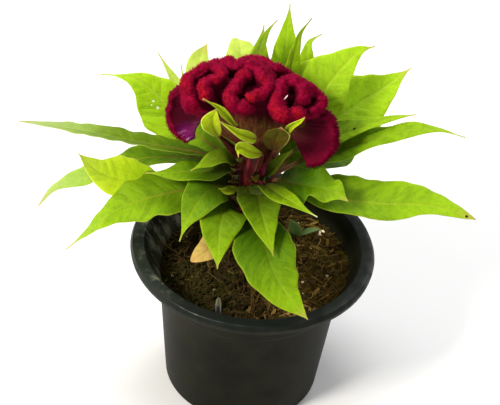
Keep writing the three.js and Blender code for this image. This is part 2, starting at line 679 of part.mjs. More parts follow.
function makeLeaf(leaf) {
  const points = [leafRoot(leaf.from, fitGap), leafRoot(leaf.from, fitGap + stalkExit)];
  return makeBlade([...points, ...leaf.path.map((p) => vec(...p))], leaf);
}

addPart('pot', makePot(), 0x15191a, 0.45);
addPart('soil', makeSoil(), 0x2c1d12, 0.95);
addPart('stem', makeStem(), 0x5a1420, 0.55);
addPart('crest', makeCrest(), 0x8c0f24, 0.9);
addPart('seedling', makeBlade(sprout.path.map((p) => vec(...p)), sprout), bluish, 0.5);
leaves.forEach((leaf) => addPart(leaf.name, makeLeaf(leaf), leaf.colour, 0.5));

export default plant;
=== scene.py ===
import math

import bpy
import numpy as np
from mathutils import Matrix
from mathutils.bvhtree import BVHTree


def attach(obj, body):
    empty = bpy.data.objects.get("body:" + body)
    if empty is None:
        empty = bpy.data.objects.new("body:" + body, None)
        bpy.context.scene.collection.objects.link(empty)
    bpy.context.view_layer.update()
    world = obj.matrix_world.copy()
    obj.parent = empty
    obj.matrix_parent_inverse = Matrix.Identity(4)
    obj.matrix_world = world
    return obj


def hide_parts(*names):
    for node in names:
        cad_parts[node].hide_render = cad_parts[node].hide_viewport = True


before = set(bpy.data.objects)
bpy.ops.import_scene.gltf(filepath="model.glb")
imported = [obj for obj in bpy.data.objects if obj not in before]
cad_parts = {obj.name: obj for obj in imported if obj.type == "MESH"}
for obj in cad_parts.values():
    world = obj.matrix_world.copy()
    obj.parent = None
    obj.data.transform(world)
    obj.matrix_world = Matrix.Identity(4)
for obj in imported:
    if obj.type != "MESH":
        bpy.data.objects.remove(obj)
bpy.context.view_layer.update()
mm = 0.001
goldenAngle, goldenShare = 2.399963, 0.618034  # steps that spread things evenly, in radians and turns


def unit(v):
    return v / np.maximum(np.linalg.norm(v, axis=-1, keepdims=True), 1e-9)


def fullTurn(count):
    return np.arange(count) * 2 * math.pi / count


def along(pairs, t):
    # straight stretches between pairs of (where, value)
    return np.interp(t, [at for at, _ in pairs], [value for _, value in pairs])


def evenly(values, t):
    # the same with the values spread evenly from 0 to 1
    return np.interp(t, np.linspace(0, 1, len(values)), values)


def curveThrough(points, fine=48):
    # centripetal Catmull-Rom; gives a function from the share of its length to places and headings
    p = np.asarray(points, float)
    p = np.vstack([2 * p[0] - p[1], p, 2 * p[-1] - p[-2]])
    w = np.linspace(0, 1, fine, endpoint=False)[:, None]
    spans = []
    for a, b, c, d in zip(p, p[1:], p[2:], p[3:]):
        d0, d1, d2 = (max(np.linalg.norm(v - u), 1e-6) ** 0.5 for u, v in ((a, b), (b, c), (c, d)))
        t1 = ((b - a) / d0 - (c - a) / (d0 + d1) + (c - b) / d1) * d1
        t2 = ((c - b) / d1 - (d - b) / (d1 + d2) + (d - c) / d2) * d1
        spans.append(b + t1 * w + (3 * (c - b) - 2 * t1 - t2) * w ** 2 + (2 * (b - c) + t1 + t2) * w ** 3)
    track = np.vstack(spans + [p[-2:-1]])
    reach = np.concatenate([[0], np.cumsum(np.linalg.norm(np.diff(track, axis=0), axis=1))])

    def at(shares, nearby=0.4):
        s = np.asarray(shares, float) * reach[-1]
        before, place, after = (np.stack([np.interp(s + step, reach, track[:, k]) for k in range(3)], 1)
                                for step in (-nearby, 0, nearby))
        return place, unit(after - before)
    return at, reach[-1]


def ripples(points, count, short, long, seed):
    # sum of plane waves with wavelengths from short to long, about -1 to 1
    draw = np.random.default_rng(seed)
    total = np.zeros(len(points))
    for _ in range(count):
        wavelength = short * (long / short) ** draw.random()
        heading = unit(draw.normal(size=3))
        total += np.sin(points @ heading * (2 * math.pi / wavelength) + draw.random() * 2 * math.pi)
    return total / math.sqrt(count)


def basis(normals, spin):
    # two axes square to each normal, turned by spin
    helper = np.where(np.abs(normals[:, 2:]) < 0.9, [[0, 0, 1]], [[1, 0, 0]])
    first = unit(np.cross(helper, normals))
    second = np.cross(normals, first)
    c, s = np.cos(spin)[:, None], np.sin(spin)[:, None]
    return first * c + second * s, second * c - first * s


def tubeFaces(rows, columns):
    # quads between rings of equal counts, and a fan at each end to two extra points behind the last ring
    i, k = np.meshgrid(np.arange(rows - 1), np.arange(columns), indexing="ij")
    a = i * columns + k
    b = i * columns + (k + 1) % columns
    quads = np.stack([a, b, b + columns, a + columns], -1).reshape(-1, 4)
    k = np.arange(columns)
    last = (rows - 1) * columns
    first, end = rows * columns, rows * columns + 1
    fans = np.concatenate([np.stack([np.full(columns, first), (k + 1) % columns, k], 1),
                           np.stack([np.full(columns, end), last + k, last + (k + 1) % columns], 1)])
    return quads, fans


def tube(rings):
    # closed skin of rings (rows, columns, 3), with its points and faces
    points = np.concatenate([rings.reshape(-1, 3), rings[:1].mean(1), rings[-1:].mean(1)])
    return points, *tubeFaces(*rings.shape[:2])


def repeated(faces, count, each):
    # the same faces for many equal pieces of one mesh
    return (faces + (np.arange(count) * each)[:, None, None]).reshape(-1, faces.shape[1])


def tubes(rings):
    # many closed skins of (count, rows, columns, 3) as one mesh, with the number of points of each
    count, rows, columns = rings.shape[:3]
    each = rows * columns + 2
    points = np.concatenate([rings.reshape(count, -1, 3), rings[:, :1].mean(2), rings[:, -1:].mean(2)], 1)
    quads, fans = tubeFaces(rows, columns)
    return points.reshape(-1, 3), repeated(quads, count, each), repeated(fans, count, each), each


def capped(values):
    # marks of a tube's rings, with those of its two end points
    return np.concatenate([values.ravel(), values[:1].mean(1), values[-1:].mean(1)])


def placed(name, data):
    thing = bpy.data.objects.new(name, data)
    bpy.context.scene.collection.objects.link(thing)
    return thing


def addPiece(name, points, quads, fans, finish, slotName, nodes=(), flat=False, marks=None):
    mesh = bpy.data.meshes.new(name)
    faces = np.concatenate([quads.ravel(), fans.ravel()]).astype(np.int32)
    starts = np.concatenate([np.arange(len(quads)) * 4, len(quads) * 4 + np.arange(len(fans)) * 3])
    mesh.vertices.add(len(points))
    mesh.vertices.foreach_set("co", (np.asarray(points) * mm).astype(np.float32).ravel())
    mesh.loops.add(len(faces))
    mesh.loops.foreach_set("vertex_index", faces)
    mesh.polygons.add(len(starts))
    mesh.polygons.foreach_set("loop_start", starts.astype(np.int32))
    mesh.update(calc_edges=True)
    mesh.validate()
    mesh.polygons.foreach_set("use_smooth", np.full(len(mesh.polygons), not flat))
    for mark, values in (marks or {}).items():
        mesh.attributes.new(mark, "FLOAT", "POINT").data.foreach_set("value", np.asarray(values, np.float32))
    piece = placed(name, mesh)
    mesh.materials.append(finish)
    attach(piece, "root")
    if nodes:
        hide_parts(*nodes)
    return piece


class Socket:
    # an output that can be used in sums, such as 1 - mask
    def __init__(self, finish, output):
        self.finish, self.output = finish, output

    def maths(self, operation, *values):
        return self.finish.node("ShaderNodeMath", {"operation": operation}, *values)

    def __add__(self, other): return self.maths("ADD", self, other)
    def __radd__(self, other): return self.maths("ADD", other, self)
    def __sub__(self, other): return self.maths("SUBTRACT", self, other)
    def __rsub__(self, other): return self.maths("SUBTRACT", other, self)
    def __mul__(self, other): return self.maths("MULTIPLY", self, other)
    def __rmul__(self, other): return self.maths("MULTIPLY", other, self)
    def __abs__(self): return self.maths("ABSOLUTE", self)
    def fraction(self): return self.maths("FRACT", self)

    def between(self, low, high):
        # 0 up to low, 1 from high on, smooth between them
        return self.finish.node("ShaderNodeMapRange", {"interpolation_type": "SMOOTHSTEP"}, self, low, high)


class Finish:
    def __init__(self, name, fixed):
        # fixed holds the shader's values that are the same all over
        self.material = bpy.data.materials.new(name)
        self.material.use_nodes = True
        self.tree = self.material.node_tree
        self.shader = self.tree.nodes["Principled BSDF"]
        for socket, value in fixed.items():
            self.shader.inputs[socket].default_value = value

    def node(self, kind, settings, *inputs, out=0, **named):
        made = self.tree.nodes.new(kind)
        for key, value in settings.items():
            if key == "stops":
                ramp = made.color_ramp.elements
                while len(ramp) < len(value):
                    ramp.new(0.5)
                for stop, (at, colour) in zip(ramp, value):
                    stop.position, stop.color = at, (*colour, 1)
            else:
                setattr(made, key, value)
        for place, value in list(enumerate(inputs)) + list(named.items()):
            socket = made.inputs[place]
            if isinstance(value, Socket):
                self.tree.links.new(value.output, socket)
            elif value is not None:
                socket.default_value = (*value, 1) if socket.type == "RGBA" else value
        return Socket(self, made.outputs[out])

    def mark(self, name):
        return self.node("ShaderNodeAttribute", {"attribute_name": name}, out="Fac")

    def place(self):
        return self.node("ShaderNodeTexCoord", {}, out="Object")

    def axis(self, name):
        return self.node("ShaderNodeSeparateXYZ", {}, self.place(), out=name)

    def distance(self, spot):
        return self.node("ShaderNodeVectorMath", {"operation": "DISTANCE"}, self.place(), spot, out="Value")

    def noise(self, size, detail=3.0, rough=0.55):
        # size is that of its blotches in millimetres
        return self.node("ShaderNodeTexNoise", {}, self.place(), Scale=1 / (size * mm), Detail=detail,
                         Roughness=rough)

    def streaks(self, share, scale, detail, rough=0.5):
        # noise drawn out upwards, by squeezing its places along Z
        where = self.node("ShaderNodeMapping", {}, self.place(), Scale=(1, 1, share))
        return self.node("ShaderNodeTexNoise", {}, where, Scale=scale, Detail=detail, Roughness=rough)

    def woven(self, x, y, z, detail, rough):
        # noise over three values of the surface's own
        where = self.node("ShaderNodeCombineXYZ", {}, x, y, z)
        return self.node("ShaderNodeTexNoise", {}, where, Scale=1.0, Detail=detail, Roughness=rough)

    def ramp(self, stops, value):
        return self.node("ShaderNodeValToRGB", {"stops": stops}, value)

    def mix(self, share, first, second, blend="MIX"):
        settings = {"data_type": "RGBA", "blend_type": blend}
        unused = [None] * 5  # its sockets for numbers and vectors
        return self.node("ShaderNodeMix", settings, share, *unused, first, second, out=2)

    def layered(self, colour, *layers):
        # a colour with others over it, each given with its share
        for share, over in layers:
            colour = self.mix(share, colour, over)
        return colour

    def feed(self, socket, value):
        self.tree.links.new(value.output, self.shader.inputs[socket])

    def done(self, colour, roughness=None, bump=None):
        # the material; bump: height, depth in millimetres and strength
        self.feed("Base Color", colour)
        if roughness:
            self.feed("Roughness", roughness)
        if bump:
            height, depth, strength = bump
            self.feed("Normal", self.node("ShaderNodeBump", {}, Height=height, Distance=depth * mm,
                                          Strength=strength))
        return self.material


view = dict(place=(0, -570.304, 603.086), pitch=38.563, yaw=-0.464, roll=-5.5, lens=1140.94 / 500 * 36)


def standing(place, x, y, z):
    # the matrix of something at a place, with its own axes given
    return Matrix([[*row, spot] for row, spot in zip(np.stack([x, y, z], 1).tolist(), place)] + [[0, 0, 0, 1]])


def addCamera(view):
    pitch, yaw, roll = (math.radians(view[turn]) for turn in ("pitch", "yaw", "roll"))
    ahead = np.array([math.sin(yaw) * math.cos(pitch), math.cos(yaw) * math.cos(pitch), -math.sin(pitch)])
    level = np.array([math.cos(yaw), -math.sin(yaw), 0])
    upright = np.cross(level, ahead)
    right = math.cos(roll) * level - math.sin(roll) * upright
    up = math.sin(roll) * level + math.cos(roll) * upright
    data = bpy.data.cameras.new("camera")
    data.lens, data.sensor_width, data.sensor_fit = view["lens"], 36, "HORIZONTAL"
    data.clip_start, data.clip_end = 0.05, 20
    camera = placed("camera", data)
    camera.matrix_world = standing(np.array(view["place"]) * mm, right, up, -ahead)
    bpy.context.scene.camera = camera


studio = dict(brightness=0.42, floor=5000, lamps=[  # where each lamp stands in metres, its aim, size and watts
    dict(name="key", place=(-0.85, -0.75, 1.1), aim=(0, 0, 0.18), size=0.35, power=20, colour=(1, 0.95, 0.86)),
    dict(name="sky", place=(-0.2, 0.4, 1.7), aim=(0, 0, 0.15), size=0.9, power=16, colour=(1, 1, 1)),
    dict(name="back", place=(0.7, 1.2, 1.1), aim=(0, 0, 0.2), size=1.0, power=7, colour=(1, 1, 1)),
])


def addLamp(name, place, aim, size, power, colour):
    data = bpy.data.lights.new(name, "AREA")
    data.shape, data.size, data.energy, data.color = "DISK", size, power, colour
    back = unit(np.array(place) - np.array(aim))
    level = unit(np.cross((0, 0, 1), back))
    placed(name, data).matrix_world = standing(place, level, np.cross(back, level), back)


def addSurroundings(form):
    world = bpy.data.worlds.new("studio")
    bpy.context.scene.world = world
    world.use_nodes = True
    background = world.node_tree.nodes["Background"]
    background.inputs["Color"].default_value = (1, 1, 1, 1)
    background.inputs["Strength"].default_value = form["brightness"]
    paper = Finish("studio_floor", {"Roughness": 0.9, "Specular IOR Level": 0.1})
    white = paper.done(paper.mix(paper.noise(60), (0.93, 0.93, 0.93), (0.95, 0.95, 0.95)))
    x, y = np.meshgrid(*[np.linspace(-form["floor"] / 2, form["floor"] / 2, 5)] * 2)
    mesh = bpy.data.meshes.new("floor")
    mesh.from_pydata((np.stack([x.ravel(), y.ravel(), 0 * x.ravel()], 1) * mm).tolist(), [],
                     [(k, k + 1, k + 6, k + 5) for k in range(19) if k % 5 < 4])
    mesh.materials.append(white)
    floor = placed("floor", mesh)


addCamera(view)
for lamp in studio["lamps"]:
    addLamp(**lamp)
addSurroundings(studio)
bpy.context.scene.view_settings.view_transform = "Standard"
print("camera, lamps and floor are in place")


potForm = dict(
    height=116, lip=80, lipHeight=6, base=54, floor=1.8, columns=176,
    holes=6, holeRadius=5, holeCircle=38, drill=(-2.0, 3.5),
    outerWall=[(56.3, 30), (58.5, 58), (60.6, 85), (61.4, 86), (62.2, 92), (64.2, 98), (67.6, 103.5)],
    black=(0.0060, 0.0060, 0.0028), faded=(0.0130, 0.0124, 0.0058), lipBlack=(0.007, 0.011, 0.010),
    lipDirtAndPaintedSheen=(0.034, 0.042, 0.032), earth=(0.034, 0.032, 0.018), lime=(0.22, 0.22, 0.16),
    dust=(0.06, 0.056, 0.045),
)
# height and radius of the inner wall
innerWall = [(1.8, 52.5), (85, 59.1), (91, 60), (98, 62.5), (104, 66), (112, 70), (115.5, 71.5)]


def potFinish(form):
    finish = Finish("pot_plastic", {"Specular IOR Level": 0.06, "Coat Roughness": 0.22})
    cloud, dust, grain = finish.noise(22, 4), finish.noise(3.5, 5, 0.7), finish.noise(0.8, 2)
    height, east, inside = finish.axis("Z"), finish.axis("X"), finish.mark("inside")
    runs = finish.streaks(0.14, 130, 5, 0.7)
    lip = height.between(0.1085, 0.1175)
    soiled = inside * (1 - height.between(0.098, 0.113)) * (0.35 + dust)
    limed = inside * runs.between(0.46, 0.66) * (1 - east.between(-0.06, -0.03)) * height.between(0.090, 0.098)
    # the lip is paler at the left: partly dirt, partly a painted sheen where the light falls on it
    dirtAndPaintedSheen = lip * (1 - east.between(-0.075, -0.03)) * (0.3 + 0.7 * cloud)
    colour = finish.layered(
        form["black"],
        (cloud.between(0.35, 0.7), form["faded"]),
        (lip * (0.4 + 0.6 * cloud), form["lipBlack"]),
        (dirtAndPaintedSheen, form["lipDirtAndPaintedSheen"]),
        (soiled.between(0.15, 0.9), form["earth"]),
        (limed * (0.35 + 0.65 * cloud.between(0.35, 0.6)), form["lime"]),
        (dust.between(0.62, 0.8) * 0.25, form["dust"]))
    finish.feed("Coat Weight", lip * (0.25 + 0.75 * runs.between(0.4, 0.65)) * 0.55)
    return finish.done(colour, 0.34 + 0.18 * cloud + 0.15 * dust + 0.2 * soiled,
                       (grain * 0.4 + dust * 0.6, 0.12, 0.35))


def rounded(corners, radius=0.5, steps=3):
    # profile with its corners rounded, points of (radius, height)
    p = np.asarray(corners, float)
    line = [p[0]]
    for before, corner, after in zip(p, p[1:], p[2:]):
        back, on = before - corner, after - corner
        cut = min(radius, 0.4 * np.linalg.norm(back), 0.4 * np.linalg.norm(on))
        a, b = corner + cut * unit(back), corner + cut * unit(on)
        for w in np.linspace(0, 1, steps + 1):
            line.append((1 - w) ** 2 * a + 2 * w * (1 - w) * corner + w ** 2 * b)
    return np.array(line + [p[-1]])


def drilled(pot, form):
    # drain holes through the floor
    for turn in fullTurn(form["holes"]):
        around = fullTurn(32)
        ring = np.stack([form["holeCircle"] * math.cos(turn) + form["holeRadius"] * np.cos(around),
                         form["holeCircle"] * math.sin(turn) + form["holeRadius"] * np.sin(around)], 1)
        points, quads, fans = tube(np.stack([np.column_stack([ring, np.full(32, z)]) for z in form["drill"]]))
        cutter = bpy.data.meshes.new("cutter")
        cutter.from_pydata((points * mm).tolist(), [], quads.tolist() + fans.tolist())
        tool = placed("cutter", cutter)
        cut = pot.modifiers.new("hole", "BOOLEAN")
        cut.object, cut.operation, cut.solver = tool, "DIFFERENCE", "EXACT"
        bpy.context.view_layer.update()
        holed = bpy.data.meshes.new_from_object(pot.evaluated_get(bpy.context.evaluated_depsgraph_get()))
        pot.modifiers.clear()
        pot.data = holed
        bpy.data.objects.remove(tool)
        bpy.data.meshes.remove(cutter)
    pot.data.name = pot.name


def makePot(form):
    under, top = form["height"] - form["lipHeight"], form["height"]
    circle = (form["holeCircle"] - 8, form["holeCircle"] + 8)  # keeps the ring of the drain holes flat
    outside = [(0.01, 0), (circle[0], 0), (circle[1], 0), (form["base"] - 1, 0), (form["base"], 1),
               *form["outerWall"], (71.5, under), (form["lip"], under), (80.5, under + 3), (79, top)]
    inside = [(r, z) for z, r in reversed(innerWall)]
    inside += [(circle[1], form["floor"]), (circle[0], form["floor"]), (0.01, form["floor"])]
    line, turns = rounded(outside + inside), fullTurn(form["columns"])
    points, quads, fans = tube(np.stack([
        np.outer(line[:, 0], np.cos(turns)), np.outer(line[:, 0], np.sin(turns)),
        np.repeat(line[:, 1:], len(turns), 1)], -1))
    inner = (np.arange(len(line)) > len(line) * 0.62).astype(float)  # the inner wall and the floor
    marks = dict(inside=capped(np.repeat(inner[:, None], len(turns), 1)))
    pot = addPiece("nursery_pot", points, quads, fans, potFinish(form), "pot_plastic", ["pot"], marks=marks)
    drilled(pot, form)


makePot(potForm)
print("pot made")


soilForm = dict(
    level=97, tilt=5, crumb=0.8, stepRadius=60.6, radius=63, stemRoom=7, wallGap=0.3, rings=105, columns=250,
    wallHeights=(2.1, 30, 60, 85, 91),
    mossPlace=(-0.038, -0.034, 0.097), moss=(0.032, 0.038, 0.004), paintedLitSide=(3.6, 3.6, 3.4),
    stops=[(0.25, (0.005, 0.003, 0.001)), (0.48, (0.018, 0.011, 0.002)), (0.62, (0.045, 0.027, 0.004)),
           (0.8, (0.11, 0.066, 0.012))],
)


def soilTop(x, y):
    crumbs = np.sin(0.43 * x + 0.9) * np.cos(0.51 * y) + np.sin(0.93 * x - 0.7 * y)
    return soilForm["level"] + soilForm["tilt"] * x / soilForm["stepRadius"] + soilForm["crumb"] * crumbs


def soilSurface(x, y):
    flat = np.stack([x, y, 0 * x], -1).reshape(-1, 3)
    fine = 0.8 * ripples(flat, 40, 5, 16, 3) + 0.35 * ripples(flat, 50, 1.8, 5, 4)
    return soilTop(x, y) + fine.reshape(x.shape)


def mossAndPaintedLight(finish, colour, share):
    # a green film, thickest round one place at the left; the right side is painted paler, as painted light
    # falling on it
    near = 1 - finish.distance(soilForm["mossPlace"]).between(0.012, 0.045)
    green = (finish.noise(20, 3) + near * 0.35).between(0.52, 0.74)
    colour = finish.mix(share * green * finish.noise(2.2, 4).between(0.35, 0.6), colour, soilForm["moss"])
    # painted light: the colour on the right side is multiplied paler
    return finish.mix(finish.axis("X").between(0.0, 0.035), colour, soilForm["paintedLitSide"], blend="MULTIPLY")


def soilFinish(form):
    finish = Finish("potting_soil", {"Specular IOR Level": 0.08})
    clods, grain = finish.noise(7, 5, 0.65), finish.noise(1.1, 4, 0.6)
    colour = mossAndPaintedLight(finish, finish.ramp(form["stops"], 0.55 * clods + 0.45 * grain), 0.8)
    return finish.done(colour, 0.72 + 0.25 * grain, (grain * 0.6 + clods * 0.4, 1.2, 0.8))


def crumbFinish(name, stops, roughness=0.8):
    # colour by the mark tone, from 0 to 1, broken up by fine grain
    finish = Finish(name, {"Specular IOR Level": 0.1})
    grain, streak = finish.noise(1.4, 4, 0.65), finish.noise(0.5, 2)
    colour = finish.ramp(stops, finish.mark("tone") * 0.75 + grain * 0.4 - 0.1)
    colour = finish.mix(0.35 * streak, colour, (0.02, 0.012, 0.003))
    return finish.done(mossAndPaintedLight(finish, colour, 0.5), roughness - 0.15 * grain,
                       (grain + streak * 0.5, 0.25, 0.6))


def makeSoil(form):
    turns = fullTurn(form["columns"])
    c, s = np.cos(turns), np.sin(turns)
    brim = form["radius"] + 1 + 0 * turns
    for _ in range(8):  # where the top meets the wall
        brim = along(innerWall, soilTop(brim * c, brim * s)) - form["wallGap"] / 2
    shares = np.linspace(1, 0.012, form["rings"])[:, None]
    x, y = shares * brim * c, shares * brim * s
    wall = []
    for z in form["wallHeights"]:
        radius = along(innerWall, z) - form["wallGap"]
        wall.append(np.stack([radius * c, radius * s, np.full(len(turns), z)], -1))
    rings = np.concatenate([np.stack(wall), np.stack([x, y, soilSurface(x, y)], -1)])
    addPiece("soil_bed", *tube(rings), soilFinish(form), "soil", ["soil"])


def scattered(draw, count, outer):
    # places on the soil, clear of the stem, evenly spread
    full = soilForm["radius"]
    radius = np.sqrt(draw.uniform((soilForm["stemRoom"] / full) ** 2, outer ** 2, count)) * full
    turn = draw.uniform(0, 2 * math.pi, count)
    return radius * np.cos(turn), radius * np.sin(turn)


def lumps(draw, x, y, sizes, sink, tilt, sides):
    # flat irregular pieces: four rings of points each, bent and with uneven outlines
    count = len(x)
    normals = unit(np.stack([draw.normal(0, tilt, count), draw.normal(0, tilt, count), np.ones(count)], 1))
    long, wide = basis(normals, draw.uniform(0, 2 * math.pi, count))
    normals, long, wide = (axes[:, None, None] for axes in (normals, long, wide))
    uneven = draw.uniform(0.72, 1.12, (count, 1, sides, 1))
    levels = np.array([-0.5, -0.2, 0.25, 0.5]).reshape(1, 4, 1, 1)
    widths = np.array([0.72, 1, 0.95, 0.6]).reshape(1, 4, 1, 1)
    c, s = (f(fullTurn(sides)).reshape(1, 1, sides, 1) for f in (np.cos, np.sin))
    length, width, height = (sizes[:, k].reshape(count, 1, 1, 1) for k in range(3))
    at = np.stack([x, y, soilSurface(x, y) + sizes[:, 2] * sink], 1)[:, None, None]
    rough = 0.05 * draw.normal(size=(count, 4, sides, 1)) * height
    rings = (at + widths * uneven * (c * length * long + s * width * wide)
             + (levels * height + rough) * normals)
    return rings - 0.09 * (c * length) ** 2 / np.maximum(length, 1) * normals


# loose bits: outer: how far towards the wall; sizes: half lengths, half widths and heights; sink and tilt: how
# they lie; tone: which colour of the stops each one takes
looseBits = dict(
    bark=dict(
        name="bark_chips", seed=11, count=620, outer=0.97, sink=0.3, tilt=0.3, sides=8, roughness=0.8,
        sizes=lambda draw, n: np.stack([draw.gamma(4, 1.15, n) + 1.4, draw.uniform(0.5, 1.3, n),
                                        draw.uniform(0.6, 1.6, n)], 1),
        tone=lambda draw, n: draw.beta(1.1, 1.8, n),
        stops=[(0.0, (0.010, 0.006, 0.002)), (0.35, (0.034, 0.018, 0.004)), (0.62, (0.105, 0.060, 0.013)),
               (0.95, (0.24, 0.155, 0.045))]),
    soil_crumbs=dict(
        name="soil_crumbs", seed=12, count=1800, outer=0.985, sink=0.2, tilt=0.5, sides=6, roughness=0.9,
        sizes=lambda draw, n: draw.uniform(0.45, 1.5, (n, 1)) * draw.uniform(0.7, 1.2, (n, 3)) * (1, 1, 1.5),
        tone=lambda draw, n: draw.beta(1.3, 2.4, n),
        stops=[(0.0, (0.007, 0.005, 0.002)), (0.4, (0.026, 0.016, 0.004)), (0.7, (0.062, 0.038, 0.009)),
               (1.0, (0.15, 0.10, 0.035))]),
    pale_bits=dict(
        name="pale_bits", seed=14, count=16, outer=0.97, sink=0.3, tilt=0.3, sides=8, roughness=0.8,
        largest=dict(at=(46, 33), size=(3.2, 1.8, 2.2)),
        sizes=lambda draw, n: draw.uniform(0.5, 1.2, (n, 1)) * draw.uniform(0.8, 1.2, (n, 3)),
        tone=lambda draw, n: draw.uniform(0.3, 0.9, n),
        stops=[(0.0, (0.30, 0.22, 0.14)), (0.5, (0.52, 0.43, 0.30)), (1.0, (0.75, 0.70, 0.60))]),
)


def makeLooseBits(kind):
    form = looseBits[kind]
    draw = np.random.default_rng(form["seed"])
    x, y = scattered(draw, form["count"], form["outer"])
    sizes = form["sizes"](draw, form["count"])
    if "largest" in form:
        (x[0], y[0]), sizes[0] = form["largest"]["at"], form["largest"]["size"]
    rings = lumps(draw, x, y, sizes, form["sink"], form["tilt"], form["sides"])
    points, quads, fans, each = tubes(rings)
    tone = np.repeat(form["tone"](draw, form["count"]), each)
    addPiece(form["name"], points, quads, fans, crumbFinish(kind, form["stops"], form["roughness"]), "soil",
             flat=True, marks=dict(tone=tone))


fibreForm = dict(
    seed=13, count=420, outer=0.86, farthest=60, widths=(0.14, 0.42), rows=9, sides=5, stops=[
        (0.0, (0.022, 0.014, 0.004)), (0.4, (0.060, 0.037, 0.010)), (0.7, (0.13, 0.083, 0.026)),
        (1.0, (0.23, 0.16, 0.060))],
)


def makeFibres(form):
    # coir fibres that lie on the soil in loose curves
    draw = np.random.default_rng(form["seed"])
    count, rows = form["count"], form["rows"]
    x, y = scattered(draw, count, form["outer"])
    turn = draw.uniform(0, 2 * math.pi, count)
    headings = np.stack([np.cos(turn), np.sin(turn), 0 * turn], 1)
    lengths = draw.gamma(4, 2.2, count) + 3
    reach = np.hypot(x + lengths * headings[:, 0], y + lengths * headings[:, 1])
    lengths = np.where(reach > form["farthest"], 3, lengths)[:, None, None]  # short beside the wall
    widths = draw.uniform(*form["widths"], count)
    lift = draw.gamma(1.5, 0.5, count)
    share = np.linspace(0, 1, rows)[None, :, None]
    bend = draw.normal(0, 0.5, (count, 1, 1)) * share * 2
    side = np.cross([[0, 0, 1]], headings)
    track = np.stack([x, y, 0 * x], 1)[:, None] + lengths * share * (
        headings[:, None] * np.cos(bend) + side[:, None] * np.sin(bend))
    arch = lift[:, None] * np.sin(np.linspace(0, math.pi, rows))[None]
    track[..., 2] = soilSurface(track[..., 0], track[..., 1]) + 0.3 + arch
    ahead = unit(np.gradient(track, axis=1))
    across = unit(np.cross(ahead, [0, 0, 1.0]))
    upward = np.cross(ahead, across)
    around = fullTurn(form["sides"])[:, None]
    thin = widths[:, None, None, None] * (1 - 0.6 * np.abs(share * 2 - 1)[..., None] ** 3)
    points, quads, fans, each = tubes(track[:, :, None] + thin * (
        np.cos(around) * across[:, :, None] + np.sin(around) * upward[:, :, None]))
    tone = np.repeat(draw.beta(2, 2, count), each)
    addPiece("coir_fibres", points, quads, fans, crumbFinish("coir_fibres", form["stops"]), "soil",
             marks=dict(tone=tone))


pegForm = dict(
    foot=(-17.3, -53, 92.5), head=(-18.2, -44.5, 104), halves=(2.5, 1.3), rows=15, columns=20,
    black=(0.003, 0.003, 0.002), topColour=(0.075, 0.073, 0.030), paintedHighlight=(0.30, 0.29, 0.23),
)


def makePeg(form):
    # a short black tab in the soil, its upper half paler, with a painted highlight part way up one side
    share, around = np.linspace(0, 1, form["rows"])[:, None, None], fullTurn(form["columns"])
    foot, head = np.array(form["foot"]), np.array(form["head"])
    middle = foot + (head - foot) * share + np.array([0, 1.2, 0]) * np.sin(share * math.pi / 2) ** 2
    wide = np.sqrt(np.clip(1 - np.clip(share * 1.8 - 0.8, 0, 0.995) ** 2, 0, 1))[..., 0]
    across, thick = form["halves"][0] * wide * np.cos(around), form["halves"][1] * wide * np.sin(around)
    finish = Finish("peg_plastic", {"Specular IOR Level": 0.3, "Roughness": 0.4})
    high, side = finish.mark("high"), finish.mark("side")
    upperShare = (high + 0.3 * finish.noise(2, 3)).between(0.80, 0.9)
    # painted highlight: a pale line part way up one side of the tab
    line = side.between(0.35, 0.6) * (1 - side.between(0.6, 0.85)) * high.between(0.3, 0.6)
    plastic = finish.done(finish.layered(form["black"], (upperShare, form["topColour"]), (line * 0.7, form["paintedHighlight"])))
    marks = dict(high=capped(np.repeat(share[..., 0], len(around), 1)),
                 side=capped(np.repeat(np.cos(around)[None], form["rows"], 0)))
    addPiece("soil_peg", *tube(middle + np.stack([across, thick, 0.35 * thick], -1)), plastic, "pot_plastic",
             marks=marks)


makeSoil(soilForm)
makeLooseBits("bark")
makeLooseBits("soil_crumbs")
makeFibres(fibreForm)
makeLooseBits("pale_bits")
makePeg(pegForm)
print("soil made")


stemForm = dict(
    foot=69, combFoot=190, top=191.5, ribs=9, relief=0.25, step=1.6, columns=108, rosySide=-38, rosyFrom=158,
    centre=[(69, 0), (110, -1), (150, -5), (175, -5), (190, -3)],
    halfWidth=[(69, 4.2), (110, 5), (140, 6.2), (165, 7.6), (190, 8.8)],
    halfDepth=[(69, 4.2), (110, 4.8), (150, 5.2), (190, 5.4)],
    groove=(0.042, 0.004, 0.006), ridge=(0.23, 0.013, 0.018), bark=(0.08, 0.022, 0.010),
    rose=(0.36, 0.012, 0.075), green=(0.10, 0.11, 0.02),
)


def stemFinish(form):
    finish = Finish("stem_skin", {"Specular IOR Level": 0.25})
    streaks = finish.streaks(0.12, 420, 4)
    blotch = finish.noise(9, 3)
    low = 1 - finish.mark("height").between(0.25, 0.55)
    colour = finish.layered(
        form["groove"],
        (finish.mark("ribs") * 0.7 + streaks * 0.3, form["ridge"]),
        (blotch.between(0.5, 0.75) * 0.5, form["bark"]),
        (finish.mark("rosy") * (0.4 + 0.6 * streaks), form["rose"]),
        (low * streaks.between(0.42, 0.62), form["green"]))
    return finish.done(colour, 0.36 + 0.2 * blotch, (streaks, 0.25, 0.6))


